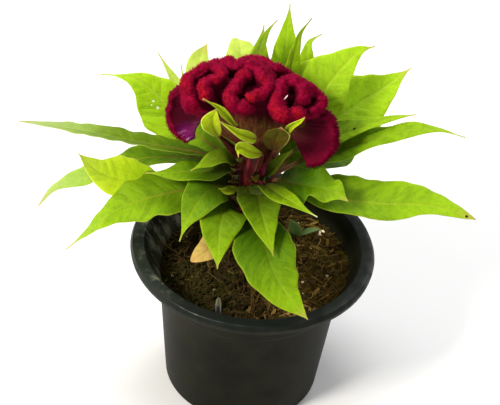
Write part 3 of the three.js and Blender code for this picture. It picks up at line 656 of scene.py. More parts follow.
def makeStem(form):
    z = np.arange(form["foot"], form["top"], form["step"])[:, None]
    turns = fullTurn(form["columns"])
    c, s = np.cos(turns), np.sin(turns)
    wave = np.cos(turns * form["ribs"])
    rib = np.sign(wave) * np.abs(wave) ** 0.7
    flat = np.stack(np.broadcast_arrays(c[None] * 6, s[None] * 6, z * 0.3), -1)
    bumps = form["relief"] * rib[None] + 0.12 * ripples(flat.reshape(-1, 3), 30, 2, 7, 21).reshape(len(z), -1)
    rings = np.stack([along(form["centre"], z) + (along(form["halfWidth"], z) + bumps) * c,
                      (along(form["halfDepth"], z) + bumps) * s, np.repeat(z, len(turns), 1)], -1)
    rosy = np.clip((np.cos(turns - math.radians(form["rosySide"])) - 0.93) / 0.06, 0, 1)
    height = (z - form["foot"]) / (form["combFoot"] - form["foot"])
    marks = dict(ribs=capped(np.repeat(0.5 + 0.5 * rib[None], len(z), 0)),
                 height=capped(np.repeat(height, len(turns), 1)),
                 rosy=capped(rosy[None] * np.clip((z - form["rosyFrom"]) / 10, 0, 1)))
    addPiece("ribbed_stem", *tube(rings), stemFinish(form), "stem", ["stem"], marks=marks)


makeStem(stemForm)
print("stem made")


# what a blade has unless its shape says otherwise; tint: how dark it is; pale: how pale its tip; fold: degrees
# that its sides rise; wave: rise of the edge, count and start; stalk: share of the length; widest: where on the
# blade; taper: how drawn out the tip is; scallop: unevenness of the edge
usualBlade = dict(tone="green", tint=0.25, pale=0, fold=8, wave=(1, 2, 0), stalk=0.2, widest=0.36, taper=1.7,
                  scallop=0.045)

# root: angle round the stem and height on it; path: the midrib; halves: widest reach left and right of it
# face: where the upper side looks, at the stalk and at the tip if they differ
leafShapes = {
    "leaf_left_low": dict(root=(205, 160), halves=(17, 17), fold=6, wave=(2, 2.5, 0), stalk=0.14, widest=0.33,
        taper=2.5, scallop=0.11, face=[(0, -0.4, 0.9), (-0.2, -0.4, 0.9)],
        path=[(-28, -4, 165), (-43, -8, 161), (-67, -16, 157), (-88, -24, 150), (-102, -30, 138),
            (-117, -34, 123)]),
    "leaf_left_lemon": dict(tone="lemon", root=(188, 158), halves=(13, 16), tint=0, fold=6,
        wave=(1.2, 1.5, 0.5), stalk=0.62, widest=0.5, taper=1.5, face=[(0, -0.1, 1), (0.5, -0.5, 0.8)],
        path=[(-38, 2, 162), (-57, 0, 157), (-75, -1, 156), (-89, -2, 158), (-102, -2, 163), (-115, 2, 172)]),
    "leaf_left_drooping": dict(root=(166, 162), halves=(12, 12), tint=0.3, wave=(1.5, 3, 0.1), widest=0.4,
        taper=1.1, face=[(0, 0, 1), (-0.5, -0.2, 0.8)],
        path=[(-36, 15, 167), (-59, 22, 162), (-79, 26, 155), (-97, 25, 146), (-112, 22, 140), (-124, 18, 137),
            (-134, 12, 134), (-143, 4, 124)]),
    "leaf_left_long": dict(tone="shade", root=(180, 177), halves=(13, 13), tint=0.05, fold=10, wave=(0.3, 2, 0),
        stalk=0.14, taper=1.05, scallop=0.015, face=(0, 0.3, 1),
        path=[(-32, -2, 184), (-51, 0, 185), (-70, 2, 185), (-102, 6, 186), (-128, 10, 186), (-156, 14, 184)]),
    "leaf_left_middle": dict(root=(206, 175), halves=(9, 9), tint=0.75, fold=6, face=(0, -0.2, 1),
        path=[(-19, -9, 181), (-31, -11, 179), (-43, -13, 178), (-56, -15, 177), (-70, -16, 176)]),
    "leaf_left_small": dict(root=(222, 184), halves=(6, 7), tint=0.45, face=[(0, -0.3, 1), (-0.3, -0.3, 1)],
        path=[(-22, -13, 192), (-32, -17, 190), (-42, -22, 186)]),
    "leaf_left_behind_crest": dict(tone="lime", root=(150, 175), halves=(18.5, 15), tint=0, fold=6,
        wave=(1.5, 2, 0.2), stalk=0.16, widest=0.5, taper=3.8, face=[(0.2, -0.7, 0.6), (-0.1, -0.9, 0.5)],
        path=[(-32, 16, 178), (-45, 22, 184), (-59, 26, 194), (-72, 30, 205), (-82, 32, 211), (-94, 34, 212),
            (-107, 38, 209)]),
    "leaf_back_left_narrow": dict(tone="pale", root=(135, 166), halves=(8, 8), tint=0, fold=15,
        face=(0.3, -0.8, 0.6), path=[(-30, 41, 173), (-48, 48, 186), (-59, 56, 195), (-74, 66, 212)]),
    "leaf_back_left_thin": dict(tone="pale", root=(125, 150), halves=(7, 7), tint=0, fold=15,
        face=(0.5, -0.8, 0.4), path=[(-30, 50, 165), (-50, 60, 185), (-56, 64, 194), (-59, 69, 203)]),
    "leaf_back_left_upright": dict(tone="pale", root=(118, 174), halves=(14, 16), tint=0, wave=(1.5, 2, 0),
        stalk=0.3, widest=0.5, taper=1.3, face=[(0.1, -0.8, 0.6), (-0.2, -0.9, 0.3)],
        path=[(-23, 28, 187), (-40, 42, 205), (-46, 52, 217), (-42, 60, 226)]),
    "leaf_back_rounded": dict(tone="pale", root=(104, 163), halves=(15, 15), tint=0, fold=6, stalk=0.3,
        widest=0.5, face=[(0, -0.8, 0.6), (0, -0.3, 1)],
        path=[(-10, 32, 184), (-16, 48, 208), (-20, 60, 222), (-22, 70, 225), (-20, 80, 218)]),
    "leaf_back_slim_left": dict(root=(94, 174), halves=(12, 8), tint=0.5, widest=0.5,
        face=[(0, -0.8, 0.6), (0, -0.8, 0.4)],
        path=[(-11, 28, 198), (-7, 40, 220), (-7, 48, 234), (-7, 56, 246)]),
    "leaf_back_slim_right": dict(tone="shade", root=(86, 181), halves=(8, 8), tint=0.4, fold=20,
        wave=(0.5, 2, 0), face=[(-0.6, -0.6, 0.6), (-0.6, -0.6, 0.4)],
        path=[(-12, 24, 212), (-9, 34, 232), (-7, 38, 242), (-4, 44, 249), (1, 50, 254)]),
    "leaf_back_tallest": dict(tone="lime", root=(76, 168), halves=(12, 13), tint=0.2, fold=10, stalk=0.15,
        widest=0.45, face=[(0, -0.8, 0.6), (0, -0.9, 0.5)],
        path=[(4, 34, 190), (9, 46, 211), (8, 56, 230), (8, 70, 255)]),
    "leaf_back_right_narrow": dict(root=(66, 184), halves=(6, 6), fold=14, wave=(0.5, 2, 0),
        face=[(0.5, -0.8, 0.6), (0.5, -0.9, 0.4)],
        path=[(9, 23, 205), (12, 32, 226), (14, 37, 241), (16, 43, 250), (22, 49, 258)]),
    "leaf_back_right_pale": dict(root=(58, 163), halves=(9, 8), fold=10, wave=(1.5, 2, 0), widest=0.5, taper=2,
        face=[(0, -0.8, 0.6), (0, -0.5, 0.9)],
        path=[(16, 32, 200), (22, 44, 220), (22, 50, 232), (23, 58, 236), (30, 66, 238)]),
    "leaf_back_low": dict(root=(98, 140), halves=(16, 16), tint=0.7, wave=(2, 2, 0),
        face=[(0, 0.3, 1), (0, 0.6, 0.8)], path=[(-6, 40, 152), (-4, 70, 140), (0, 98, 112)]),
    "leaf_back_low_left": dict(root=(140, 138), halves=(16, 16), tint=0.7, wave=(2, 2, 0.3),
        face=[(-0.2, 0.2, 1), (-0.3, 0.5, 0.8)], path=[(-34, 34, 152), (-62, 58, 142), (-80, 78, 120)]),
    "leaf_back_low_right": dict(root=(44, 152), halves=(16, 16), tint=0.7, wave=(2, 2, 0.6),
        face=[(0.2, 0.2, 1), (0.3, 0.5, 0.8)],
        path=[(25, 16, 165), (36, 22, 169), (46, 34, 168), (57, 50, 164), (66, 64, 156)]),
    "leaf_right_upper": dict(tone="lime", root=(44, 178), halves=(24, 16), tint=0.1, fold=6, wave=(1.5, 2, 0),
        stalk=0.36, taper=2, face=[(-0.3, -0.7, 0.7), (-0.1, -0.7, 0.7)],
        path=[(26, 22, 204), (38, 33, 224), (47, 39, 236), (54, 43, 242), (63, 47, 244)]),
    "leaf_right_broad": dict(tone="lime", root=(32, 160), halves=(24, 24), tint=0, fold=6, wave=(1.5, 2, 0.4),
        stalk=0.22, widest=0.45, face=(-0.2, -0.7, 0.7),
        path=[(26, 24, 187), (47, 36, 197), (62, 46, 205), (76, 54, 213), (89, 60, 223)]),
    "leaf_right_on_edge": dict(root=(14, 182), halves=(9, 8), tint=0.5, fold=14,
        face=[(-0.5, -0.25, 0.9), (-0.45, -0.1, 0.8)],
        path=[(26, 8, 191), (41, 11, 197), (53, 13, 202), (65, 14, 208), (76, 15, 213), (91, 15, 218)]),
    "leaf_right_long": dict(root=(4, 173), halves=(11, 11), tint=0.45, wave=(1.5, 2.5, 0), taper=1.9,
        face=[(-0.1, -0.2, 1), (0, -0.1, 1)],
        path=[(24, 6, 181), (36, 8, 186), (48, 8, 192), (62, 8, 199), (77, 8, 206), (88, 8, 211), (106, 8, 213),
            (122, 6, 211)]),
    "leaf_right_big": dict(root=(-14, 164), halves=(17, 12), tint=0.3, fold=4, wave=(1.8, 2.5, 0.28),
        stalk=0.16, widest=0.4, taper=1.1, scallop=0.015, face=(0, -0.4, 0.9),
        path=[(16, -6, 170), (32, -10, 170), (54, -14, 170), (78, -20, 174), (101, -26, 181), (115, -30, 182),
            (131, -34, 180)]),
    "leaf_front_right_wavy": dict(root=(-36, 170), halves=(13, 13), tint=1, fold=14, wave=(3.6, 3.5, 0),
        stalk=0.26, widest=0.5, taper=1.3, face=[(-0.1, -0.4, 0.9), (0.2, -0.4, 0.9)],
        path=[(9, -8, 175), (19, -14, 178), (31, -20, 182), (43, -27, 185), (54, -34, 184)]),
    "leaf_front_right_twisted": dict(root=(-62, 168), halves=(6, 8), tint=0.3, pale=1, fold=15,
        wave=(1, 1.5, 0), stalk=0.15, face=[(0, -0.2, 1), (0.4, -0.4, 0.9)],
        path=[(4, -16, 176), (12, -27, 179), (23, -38, 181), (36, -48, 181)]),
    "leaf_front_middle": dict(root=(-86, 152), halves=(13, 13), tint=0.65, fold=10, stalk=0.12,
        face=[(0, 0, 1), (0.1, -0.5, 0.8)],
        path=[(-1, -16, 168), (3, -32, 167), (8, -44, 160), (13, -54, 152)]),
    "leaf_front_big": dict(root=(-80, 136), halves=(17, 20), tint=0.8, fold=5, widest=0.42, taper=1.4,
        face=[(0, -0.2, 1), (0, -0.5, 0.8)],
        path=[(1, -20, 153), (6, -38, 151), (13, -56, 145), (22, -68, 137), (37, -80, 128)]),
    "leaf_front_left": dict(root=(-112, 146), halves=(15, 15), tint=0.6, stalk=0.15,
        face=[(0, -0.2, 1), (0, -0.6, 0.8)],
        path=[(-18, -22, 160), (-21, -34, 157), (-21, -44, 148), (-20, -56, 139)]),
    "leaf_front_withered": dict(tone="straw", root=(-118, 126), halves=(9, 9), fold=10, stalk=0.3, widest=0.6,
        taper=0.8, face=[(0, -0.4, 0.9), (-0.2, -0.4, 0.9)],
        path=[(-16, -28, 144), (-25, -40, 143), (-37, -48, 136)]),
    "leaf_front_left_folded": dict(root=(-146, 166), halves=(13, 13), tint=0.8, stalk=0.12, taper=2.4,
        face=[(-0.2, -0.5, 0.8), (-0.2, -0.7, 0.5)],
        path=[(-23, -12, 170), (-32, -22, 170), (-38, -30, 164), (-42, -36, 156), (-45, -42, 146)]),
}

# each with its rib as path and its two rims as lines of their own, left and right of the rib
bractShapes = {
    "bract_folded": dict(tone="bract", root=(-122, 188),
        path=[(-15.5, -31, 227.1), (-18.5, -33, 231.8), (-21.5, -36, 237.3), (-24.5, -39, 242.6),
            (-27.6, -42, 247.4), (-31.7, -46, 252.3), (-35.2, -49, 256.1)],
        rims=[[(-15.5, -31, 227.1), (-19.4, -35, 231.4), (-22.6, -39, 236.8), (-25.5, -42, 241.8),
            (-27.8, -44, 247.1), (-32, -47, 252.6), (-35.2, -49, 256.1)], [(-15.5, -31, 227.1),
            (-17.7, -35, 234.4), (-20.4, -38, 240.7), (-23.7, -41, 246.5), (-27.3, -44, 250.2),
            (-31.3, -46, 252.6), (-35.2, -49, 256.1)]]),
    "bract_broad": dict(tone="bract", root=(-150, 186),
        path=[(-25.7, -27, 215.7), (-28.2, -29, 221.6), (-29.9, -31, 227.5), (-30.2, -33, 233.5),
            (-29.4, -36, 238.6), (-28.3, -40, 243.9)],
        rims=[[(-25.7, -27, 215.7), (-31, -31, 219.9), (-35.5, -34, 226.5), (-36.7, -35, 231.9),
            (-33, -37, 238.5), (-28.3, -40, 243.9)], [(-25.7, -27, 215.7), (-24.8, -30, 222.7),
            (-25.5, -33, 229.4), (-26.5, -36, 235.9), (-27.3, -38, 240.6), (-28.3, -40, 243.9)]]),
    "bract_curled": dict(tone="bract", root=(-106, 187),
        path=[(-3.7, -34, 222.6), (-5.9, -36, 223.8), (-9.6, -38, 226.3), (-14.1, -40, 229.2),
            (-18.9, -42, 233.2), (-22, -44, 237), (-25.6, -47, 241.4)],
        rims=[[(-3.7, -34, 222.5), (-5.4, -39, 222.7), (-9.3, -41, 224.4), (-13.6, -43, 228),
            (-18.2, -45, 233.4), (-22.1, -46, 237.4), (-25.6, -47, 241.3)], [(-3.7, -34, 222.8),
            (-5.7, -36, 227.5), (-9.6, -38, 230.5), (-14.7, -40, 232.6), (-19.4, -42, 235.4),
            (-22.3, -44, 238.1), (-25.6, -47, 241.6)]]),
    "bract_hooked": dict(tone="bract", root=(-80, 178),
        path=[(0.9, -26, 206.4), (-2.7, -29, 208.8), (-7.3, -32, 211.8), (-12, -35, 216), (-14.1, -37, 216.8),
            (-14.5, -40, 216.7), (-13.4, -42, 214)],
        rims=[[(0.9, -26, 206.2), (-1.9, -31, 207.4), (-5.6, -34, 208.4), (-9.5, -37, 211.2),
            (-12.2, -40, 215.6), (-13.2, -41, 216.5), (-13.4, -42, 213.9)], [(0.9, -26, 206.5), (-3, -29, 212),
            (-7.7, -32, 217.1), (-12, -35, 220.3), (-14.7, -37, 220.5), (-15.7, -39, 218.8),
            (-13.4, -42, 214.1)]]),
    "bract_right": dict(tone="bract", root=(-40, 188),
        path=[(13.7, -25, 221.2), (13.5, -27, 226.9), (15.6, -30, 232), (18.5, -34, 237), (21.7, -40, 244.5)],
        rims=[[(13.7, -25, 221.2), (11.7, -28, 227.8), (13.5, -31, 232.9), (17.1, -35, 238.1),
            (21.6, -40, 244.8)], [(13.7, -25, 221.2), (15.1, -29, 226.1), (17, -33, 232), (19.8, -36, 237.4),
            (21.7, -40, 243.9)]]),
    "bract_olive": dict(tone="olive", root=(-58, 184),
        path=[(7, -20, 204.4), (6.7, -22, 210.6), (7.1, -24, 216.9), (8.3, -27, 223.5), (9.5, -30, 229.3)],
        rims=[[(6.9, -20, 204.4), (1.5, -23, 210.2), (-0.5, -25, 216.6), (1.5, -27, 223.7), (9.5, -30, 229.4)],
            [(7.1, -20, 204.5), (10.9, -23, 210.2), (14, -26, 216.1), (14.8, -28, 223.2), (9.6, -30, 229.3)]]),
}

# step: length of its quads; exit: how far the stalk runs straight out of the stem, tuck: how far into it; vein:
# from one side vein to the next and how they slant; pucker, groove, rib, ripple: relief between the veins, over
# and under the midrib and at the edge; shadow: the comb's, with its middle, foot and reach
bladeForm = dict(step=1.25, halfColumns=12, thickness=0.42, stalk=(2.6, 2.2), exit=4, tuck=1.2, stalkShare=0.6,
                 vein=7.2, slant=(0.62, 0.022), pucker=0.6, groove=0.4, rib=0.8, ripple=0.5,
                 shadow=dict(x=-4, foot=200, full=14, reach=48))
smallForm = dict(bladeForm, step=1.0, halfColumns=7, stalk=(1.8, 1.5), pucker=0.25)


def leafRoot(root, reach):
    turn, z = math.radians(root[0]), root[1]
    a, b = (along(stemForm[half], z) + stemForm["relief"] for half in ("halfWidth", "halfDepth"))
    on = np.array([along(stemForm["centre"], z) + a * math.cos(turn), b * math.sin(turn), z])
    return on + reach * unit(np.array([math.cos(turn) / a, math.sin(turn) / b, 0]))


def bladeShare(s, widest, taper):
    rising = np.sin(math.pi / 2 * np.clip(s / widest, 0, 1)) ** 1.1
    falling = np.cos(math.pi / 2 * np.clip((s - widest) / (1 - widest), 0, 1)) ** (0.8 * taper)
    return np.where(s < widest, rising, falling) * (s > 0) * (s < 1)


def rimmedSpan(shape, t, s, q, ahead, flutter, least, middle):
    # a blade between its two rims: up, share of the widest, half widths, reach across, rise
    left, right = (curveThrough(rim)[0](s[:, 0])[0] - middle for rim in shape["rims"])
    apart = right - left
    wide = np.linalg.norm(apart, axis=1)
    sure = wide > 1.5  # nearer its ends the side is that of the nearest sure place
    side = unit(np.stack([np.interp(t, t[sure], apart[sure, k] / wide[sure]) for k in range(3)], 1))
    half = np.where(q < 0, np.linalg.norm(left, axis=1)[:, None], np.linalg.norm(right, axis=1)[:, None])
    across = np.where(q[..., None] < 0, left[:, None], right[:, None]) * np.abs(q)[..., None]
    across = across + side[:, None] * (q * np.maximum(least - half, 0))[..., None]
    share = (wide / wide.max())[:, None]
    raised = 0.06 * flutter * np.abs(q) * half
    return unit(np.cross(side, ahead)), share, np.maximum(half, least), across, raised


def foldedSpan(shape, t, s, q, ahead, flutter, least):
    # a blade folded along its midrib, with waved edges: the same five
    faces = np.asarray(shape["face"], float).reshape(-1, 3)
    edge = np.abs(q)
    up = faces[0] + (faces[-1] - faces[0]) * t[:, None]
    up = unit(up - (up * ahead).sum(1, keepdims=True) * ahead)
    share = bladeShare(s, shape["widest"], shape["taper"])
    widest = np.where(q < 0, *shape["halves"])
    half = np.maximum(widest * share * (1 + shape["scallop"] * flutter * edge), least)
    rise, waves, start = shape["wave"]
    turn = 2 * math.pi * (waves * s + start + np.where(q < 0, 0.35, 0))
    raised = (edge * half * math.tan(math.radians(shape["fold"])) * share
              + q * q * 1.35 * rise * share * np.sin(turn))
    return up, share, half, np.cross(ahead, up)[:, None] * (q * half)[..., None], raised


def bladeRings(points, shape, form, seed):
    shape, rimmed = dict(usualBlade, **shape), "rims" in shape
    track, length = curveThrough(points)
    stalk = shape["stalk"] * form["stalkShare"]
    if rimmed:  # the blade starts where its rib does
        fine = np.linspace(0, 1, 400)
        stalk = fine[np.argmin(np.linalg.norm(track(fine)[0] - shape["path"][0], axis=1))]
    rows = int(length / form["step"])
    t = np.concatenate([np.linspace(0, stalk, max(5, int(rows * stalk * 0.7)), endpoint=False),
                        np.linspace(stalk, 1, int(rows * (1 - stalk)))])
    middle, ahead = track(t)
    s = np.clip((t - stalk) / (1 - stalk), 0, 1)[:, None]
    steps = np.linspace(-1, 1, 2 * form["halfColumns"] + 1)
    q = (steps * (0.72 + 0.28 * steps ** 2))[None]  # -1 at the left edge, 1 at the right
    edge = np.abs(q)
    draw = np.random.default_rng(seed)
    left = (1 - s) * length * (1 - stalk)  # millimetres left to the tip
    flutter = sum(draw.uniform(0.5, 1) * np.sin(left / draw.uniform(1.6, 4.5) + draw.uniform(0, 6, 2)[
        (q > 0).astype(int)]) for _ in range(4)) / 2
    least = 0.5 * form["stalk"][0] * (1 - 0.7 * s)
    given = (shape, t, s, q, ahead, flutter, least)
    up, share, half, across, raised = rimmedSpan(*given, middle) if rimmed else foldedSpan(*given)
    stalky = np.clip(1 - 3 * share, 0, 1) * (1 - s) ** 3
    lateral = edge * half
    slant, curve = form["slant"]
    phase = (s * length * (1 - stalk) - slant * lateral - curve * lateral ** 2) / form["vein"]
    full = np.clip(half / 9, 0.25, 1) * np.clip(share * 1.6, 0, 1)
    relief = (np.sin(math.pi * phase) ** 2) ** 0.7 * edge ** 0.5 * (1 - edge ** 6)
    raised = raised + form["pucker"] * full * relief
    raised = raised - form["groove"] * full * np.exp(-(lateral / 0.9) ** 2)
    raised = raised + form["ripple"] * flutter * edge ** 3 * full
    stalkRound = 0.5 * form["stalk"][1] * (np.sqrt(np.clip(1 - q * q, 0, 1)) - 1)
    raised = raised + stalky * stalkRound * 0.9
    thickness = form["thickness"] * (1 - 0.55 * edge ** 4) + form["rib"] * full * (1 - 0.75 * s) * np.exp(
        -(lateral / (0.8 + 0.5 * (1 - s))) ** 2)
    stalkThick = form["stalk"][1] * np.sqrt(np.clip(1 - q * q, 0.02, 1))
    thickness = thickness * (1 - stalky) + stalky * stalkThick
    upper = middle[:, None] + across + up[:, None] * raised[..., None]
    lower = (upper - up[:, None] * thickness[..., None])[:, ::-1]
    rings = np.concatenate([upper, lower], 1)
    tuck = -form["tuck"] * ahead[:1, None]  # the stalk's end goes into what it grows from
    shadow, flat = form["shadow"], np.zeros_like(lateral + s)
    away = np.hypot(upper[..., 0] - shadow["x"], upper[..., 1]) + np.maximum(upper[..., 2] - shadow["foot"], 0)
    near = np.clip((shadow["reach"] - away) / (shadow["reach"] - shadow["full"]), 0, 1)
    marks = dict(across=q + flat, lateral=lateral, blade=s + flat, phase=phase, stalk=stalky + flat, near=near,
                 tint=shape["tint"] + flat, pale=shape["pale"] + flat)
    marks = {mark: np.concatenate([values, values[:, ::-1]], 1) for mark, values in marks.items()}
    marks["under"] = np.concatenate([flat, flat + 1], 1)
    marks = {mark: capped(np.concatenate([values[:1], values])) for mark, values in marks.items()}
    return np.concatenate([rings[:1] + tuck, rings]), marks


# blade from base to tip, shaded base, veins, edge, underside, strength of edge and midrib
leafTones = {
    "green": dict(slot="leaf_green", base=(0.125, 0.245, 0.002), tip=(0.31, 0.5, 0.006),
        deep=(0.035, 0.09, 0.001), vein=(0.34, 0.46, 0.02), edge=(0.46, 0.52, 0.04), under=(0.25, 0.39, 0.01),
        rim=0.4, rib=0.6),
    "lime": dict(slot="leaf_green", base=(0.18, 0.33, 0.002), tip=(0.37, 0.59, 0.01), deep=(0.065, 0.15, 0.001),
        vein=(0.42, 0.56, 0.04), edge=(0.5, 0.58, 0.06), under=(0.28, 0.45, 0.01), rim=0.4, rib=0.5),
    "shade": dict(slot="leaf_dark", base=(0.065, 0.125, 0.001), tip=(0.2, 0.32, 0.01),
        deep=(0.025, 0.052, 0.001), vein=(0.22, 0.31, 0.02), edge=(0.36, 0.38, 0.05), under=(0.15, 0.25, 0.01),
        rim=0.45, rib=0.7),
    # lemon: partly the leaf's own paler yellow-green and partly painted light where light falls on the curled
    # blade
    "lemon": dict(slot="leaf_lemon", base=(0.36, 0.54, 0.004), tip=(0.58, 0.76, 0.02), deep=(0.19, 0.33, 0.002),
        vein=(0.48, 0.56, 0.02), edge=(0.74, 0.74, 0.16), under=(0.42, 0.54, 0.02), rim=0.5, rib=0.25),
    "pale": dict(slot="leaf_lemon", base=(0.3, 0.4, 0.02), tip=(0.5, 0.62, 0.1), deep=(0.17, 0.27, 0.01),
        vein=(0.5, 0.58, 0.12), edge=(0.62, 0.68, 0.2), under=(0.42, 0.54, 0.08), rim=0.5, rib=0.4),
    # olive: a dark olive, partly painted shade for a blade lying in shade under the comb
    "olive": dict(slot="leaf_dark", base=(0.045, 0.04, 0.001), tip=(0.085, 0.075, 0.003),
        deep=(0.02, 0.015, 0.001), vein=(0.09, 0.04, 0.01), edge=(0.52, 0.5, 0.09), under=(0.05, 0.045, 0.003),
        rim=0.9, rib=0.4, band=(0.88, 0.98), sided=True),
    "wine": dict(slot="leaf_dark", base=(0.05, 0.055, 0.002), tip=(0.12, 0.15, 0.003),
        deep=(0.05, 0.012, 0.006), vein=(0.16, 0.05, 0.02), edge=(0.2, 0.16, 0.03), under=(0.08, 0.07, 0.01),
        rim=0.3, rib=0.7),
    "straw": dict(slot="leaf_dry", base=(0.34, 0.2, 0.03), tip=(0.6, 0.42, 0.11), deep=(0.2, 0.12, 0.03),
        vein=(0.3, 0.18, 0.06), edge=(0.4, 0.26, 0.09), under=(0.45, 0.33, 0.13), rim=0.5, rib=0.3),
    "bluish": dict(slot="leaf_bluish", base=(0.2, 0.33, 0.11), tip=(0.3, 0.44, 0.17), deep=(0.13, 0.22, 0.07),
        vein=(0.36, 0.48, 0.22), edge=(0.36, 0.48, 0.22), under=(0.22, 0.34, 0.13), rim=0.3, rib=0.2),
    "bract": dict(slot="leaf_lemon", base=(0.32, 0.48, 0.002), tip=(0.56, 0.7, 0.012), deep=(0.15, 0.26, 0.001),
        vein=(0.34, 0.38, 0.01), edge=(0.8, 0.76, 0.2), under=(0.42, 0.54, 0.02), rim=0.65, rib=0.45,
        band=(0.88, 0.99)),
}

# small marks on the leaves, dark specks and painted glints: where in millimetres, radius and colour
specksAndGlints = [
    dict(where=(55.1, 14.2, 203.4), radius=1.0, colour=(0.008, 0.010, 0.004)),
    dict(where=(125.5, -33, 181), radius=1.2, colour=(0.006, 0.006, 0.004)),
    # the three pale ones are painted glints on the leaf behind the comb
    dict(where=(-71.6, 27.2, 200.2), radius=0.9, colour=(0.75, 0.78, 0.50)),
    dict(where=(-68.5, 25.6, 196.6), radius=1.1, colour=(0.75, 0.78, 0.50)),
    dict(where=(-72.4, 25.5, 198.1), radius=0.6, colour=(0.70, 0.76, 0.40)),
]
leafStains = dict(midrib=(0.24, 0.030, 0.024), deep=(0.24, 0.37, 0.15), paintedGlare=(0.50, 0.58, 0.26),
                  tip=(0.52, 0.20, 0.12), paleTip=(0.80, 0.72, 0.52), lines=(0.24, 0.085, 0.012),
                  shadow=(0.026, 0.022, 0.003), stalk=(0.035, 0.006, 0.006), stalkRed=(0.11, 0.022, 0.014),
                  stalkTan=(0.36, 0.19, 0.08))


def leafFinish(name, tone, stains=leafStains):
    finish = Finish("leaf_" + name, {"Specular IOR Level": 0.07, "Subsurface Weight": 0.3,
                                     "Subsurface Radius": (0.8, 1.0, 0.2), "Subsurface Scale": 0.0015})
    s, across, lateral, phase, under, stalk, near, tint, pale = (finish.mark(mark) for mark in (
        "blade", "across", "lateral", "phase", "under", "stalk", "near", "tint", "pale"))
    cloud, fine, east = finish.noise(24, 3), finish.noise(2.4, 4, 0.6), finish.axis("X")
    edge = abs(across)
    bent = phase + 0.9 * (finish.noise(13, 2) - 0.5) + 0.12 * (fine - 0.5)
    veins = abs(bent.fraction() - 0.5).between(0.40, 0.49) * (1 - edge.between(0.75, 1))
    veins = veins * lateral.between(0.3, 2)
    quilt = finish.woven(bent * 1.3, across * 1.2, s * 4, 4, 0.65)
    net = finish.node("ShaderNodeTexVoronoi", {"feature": "DISTANCE_TO_EDGE"}, finish.place(), Scale=480)
    net = 1 - net.between(0.01, 0.12)
    rib = 1 - lateral.between(0.3, 1.3 - 0.6 * s)
    red = finish.mix(s.between(0.05, 0.55), stains["midrib"], tone["vein"])
    colour = finish.layered(
        tone["base"],
        ((s * 0.8 + cloud * 0.8 - 0.25).between(0.05, 0.95), tone["tip"]),
        ((1 - s.between(0.02, 0.5)) * (1 - edge * 0.5) * 0.75, tone["deep"]),
        (quilt.between(0.42, 0.66) * 0.34 * (1 - s.between(0.5, 1) * 0.5), tone["deep"]),
        (fine.between(0.45, 0.75) * 0.22, tone["deep"]),
        (0.34 * veins * cloud.between(0.3, 0.6) + 0.08 * net, tone["vein"]),
        (under * 0.6, tone["under"]),
        (rib * tone["rib"], red))
    colour = finish.mix(tint * (1.1 - 0.85 * s.between(0.25, 1)), colour, stains["deep"], blend="MULTIPLY")
    rim = edge.between(*tone.get("band", (0.93, 1))) * tone["rim"] * s.between(0, 0.2)
    if "sided" in tone:  # bright on one side only
        rim = rim * across.between(-0.1, 0.4)
    glareShare = (1 - east.between(-0.155, -0.085)) * (0.25 + 0.5 * cloud)  # painted light: far out at the left the leaves are painted paler, washed out by strong light
    colour = finish.layered(colour, (rim, tone["edge"]), (glareShare, stains["paintedGlare"]))
    tipShare = 0.35
    if "band" in tone:  # small leaves under the comb: reddish lines from the base, a coloured tip
        lines = abs((across * 5 + 0.3 * fine).fraction() - 0.5).between(0.25, 0.48) * (1 - s.between(0.35, 0.8))
        colour = finish.mix(lines * 0.5, colour, stains["lines"])
        tipShare = 0.75
    tipped = finish.mix(pale, stains["tip"], stains["paleTip"])
    colour = finish.layered(colour, (s.between(0.88, 1) * (tipShare + 0.25 * pale), tipped),
                            (near.between(0.1, 1) * 0.72, stains["shadow"]))
    # dark specks, and pale painted glints
    for speck in specksAndGlints:
        gap, radius = finish.distance(tuple(at * mm for at in speck["where"])), speck["radius"] * mm
        colour = finish.mix(1 - gap.between(radius * 0.6, radius), colour, speck["colour"])
    petiole = finish.layered(stains["stalk"], (fine.between(0.35, 0.65), stains["stalkRed"]),
                             (east.between(0.004, 0.018) * 0.85, stains["stalkTan"]))
    return finish.done(finish.mix(stalk.between(0.1, 0.8), colour, petiole),
                       0.42 + 0.2 * fine - 0.08 * veins + 0.12 * under,
                       (fine * 0.5 - net * 0.35 - veins * 0.5, 0.3, 0.7))


smallBlades = {
    "axil_bud": dict(tone="lemon", halves=(3.2, 3.0), tint=0, fold=16, wave=(0.3, 2, 0), stalk=0.3, widest=0.5,
        face=(-0.3, -0.7, 0.6), path=[(-8, -6, 166), (-15, -13, 168), (-20, -19, 171), (-24, -23, 175)]),
    "axil_right": dict(tone="lime", halves=(3.8, 3.8), tint=0.35, fold=14, wave=(0.4, 2, 0), stalk=0.15,
        widest=0.45, face=(-0.4, -0.6, 0.5),
        path=[(0, -5, 172), (4.8, -8, 179), (8, -10.5, 187), (12, -12.5, 195), (18, -14, 203)]),
    "axil_front": dict(halves=(8.5, 8.5), tint=1, fold=10, wave=(0.6, 2, 0), stalk=0.1, widest=0.4, taper=1.2,
        face=[(0, -0.4, 0.9), (0, -0.7, 0.7)],
        path=[(-8, -4, 164), (-7, -11, 169.5), (-4, -17, 168), (0, -23, 164), (5, -29, 157)]),
    "seedling_second": dict(tone="bluish", halves=(1.9, 1.9), tint=0, fold=10, wave=(0.3, 2, 0), widest=0.5,
        face=(0, -0.6, 0.8), path=[(29, 30, 97), (34, 30, 103), (41, 31, 106), (46, 32, 105)]),
}
seedlingShape = dict(tone="bluish", tint=0, halves=(4.6, 4.6), face=(-0.3, -0.9, 0.4), wave=(0.3, 2, 0),
                     widest=0.55, stalk=0.45, path=[(29, 30, 88), (29, 30, 100), (27, 30, 107), (23, 29, 114)])
shootForm = dict(count=20, turns=(-172, 112), heights=(142, 180), reach=(10, 18), width=(0.16, 0.26))


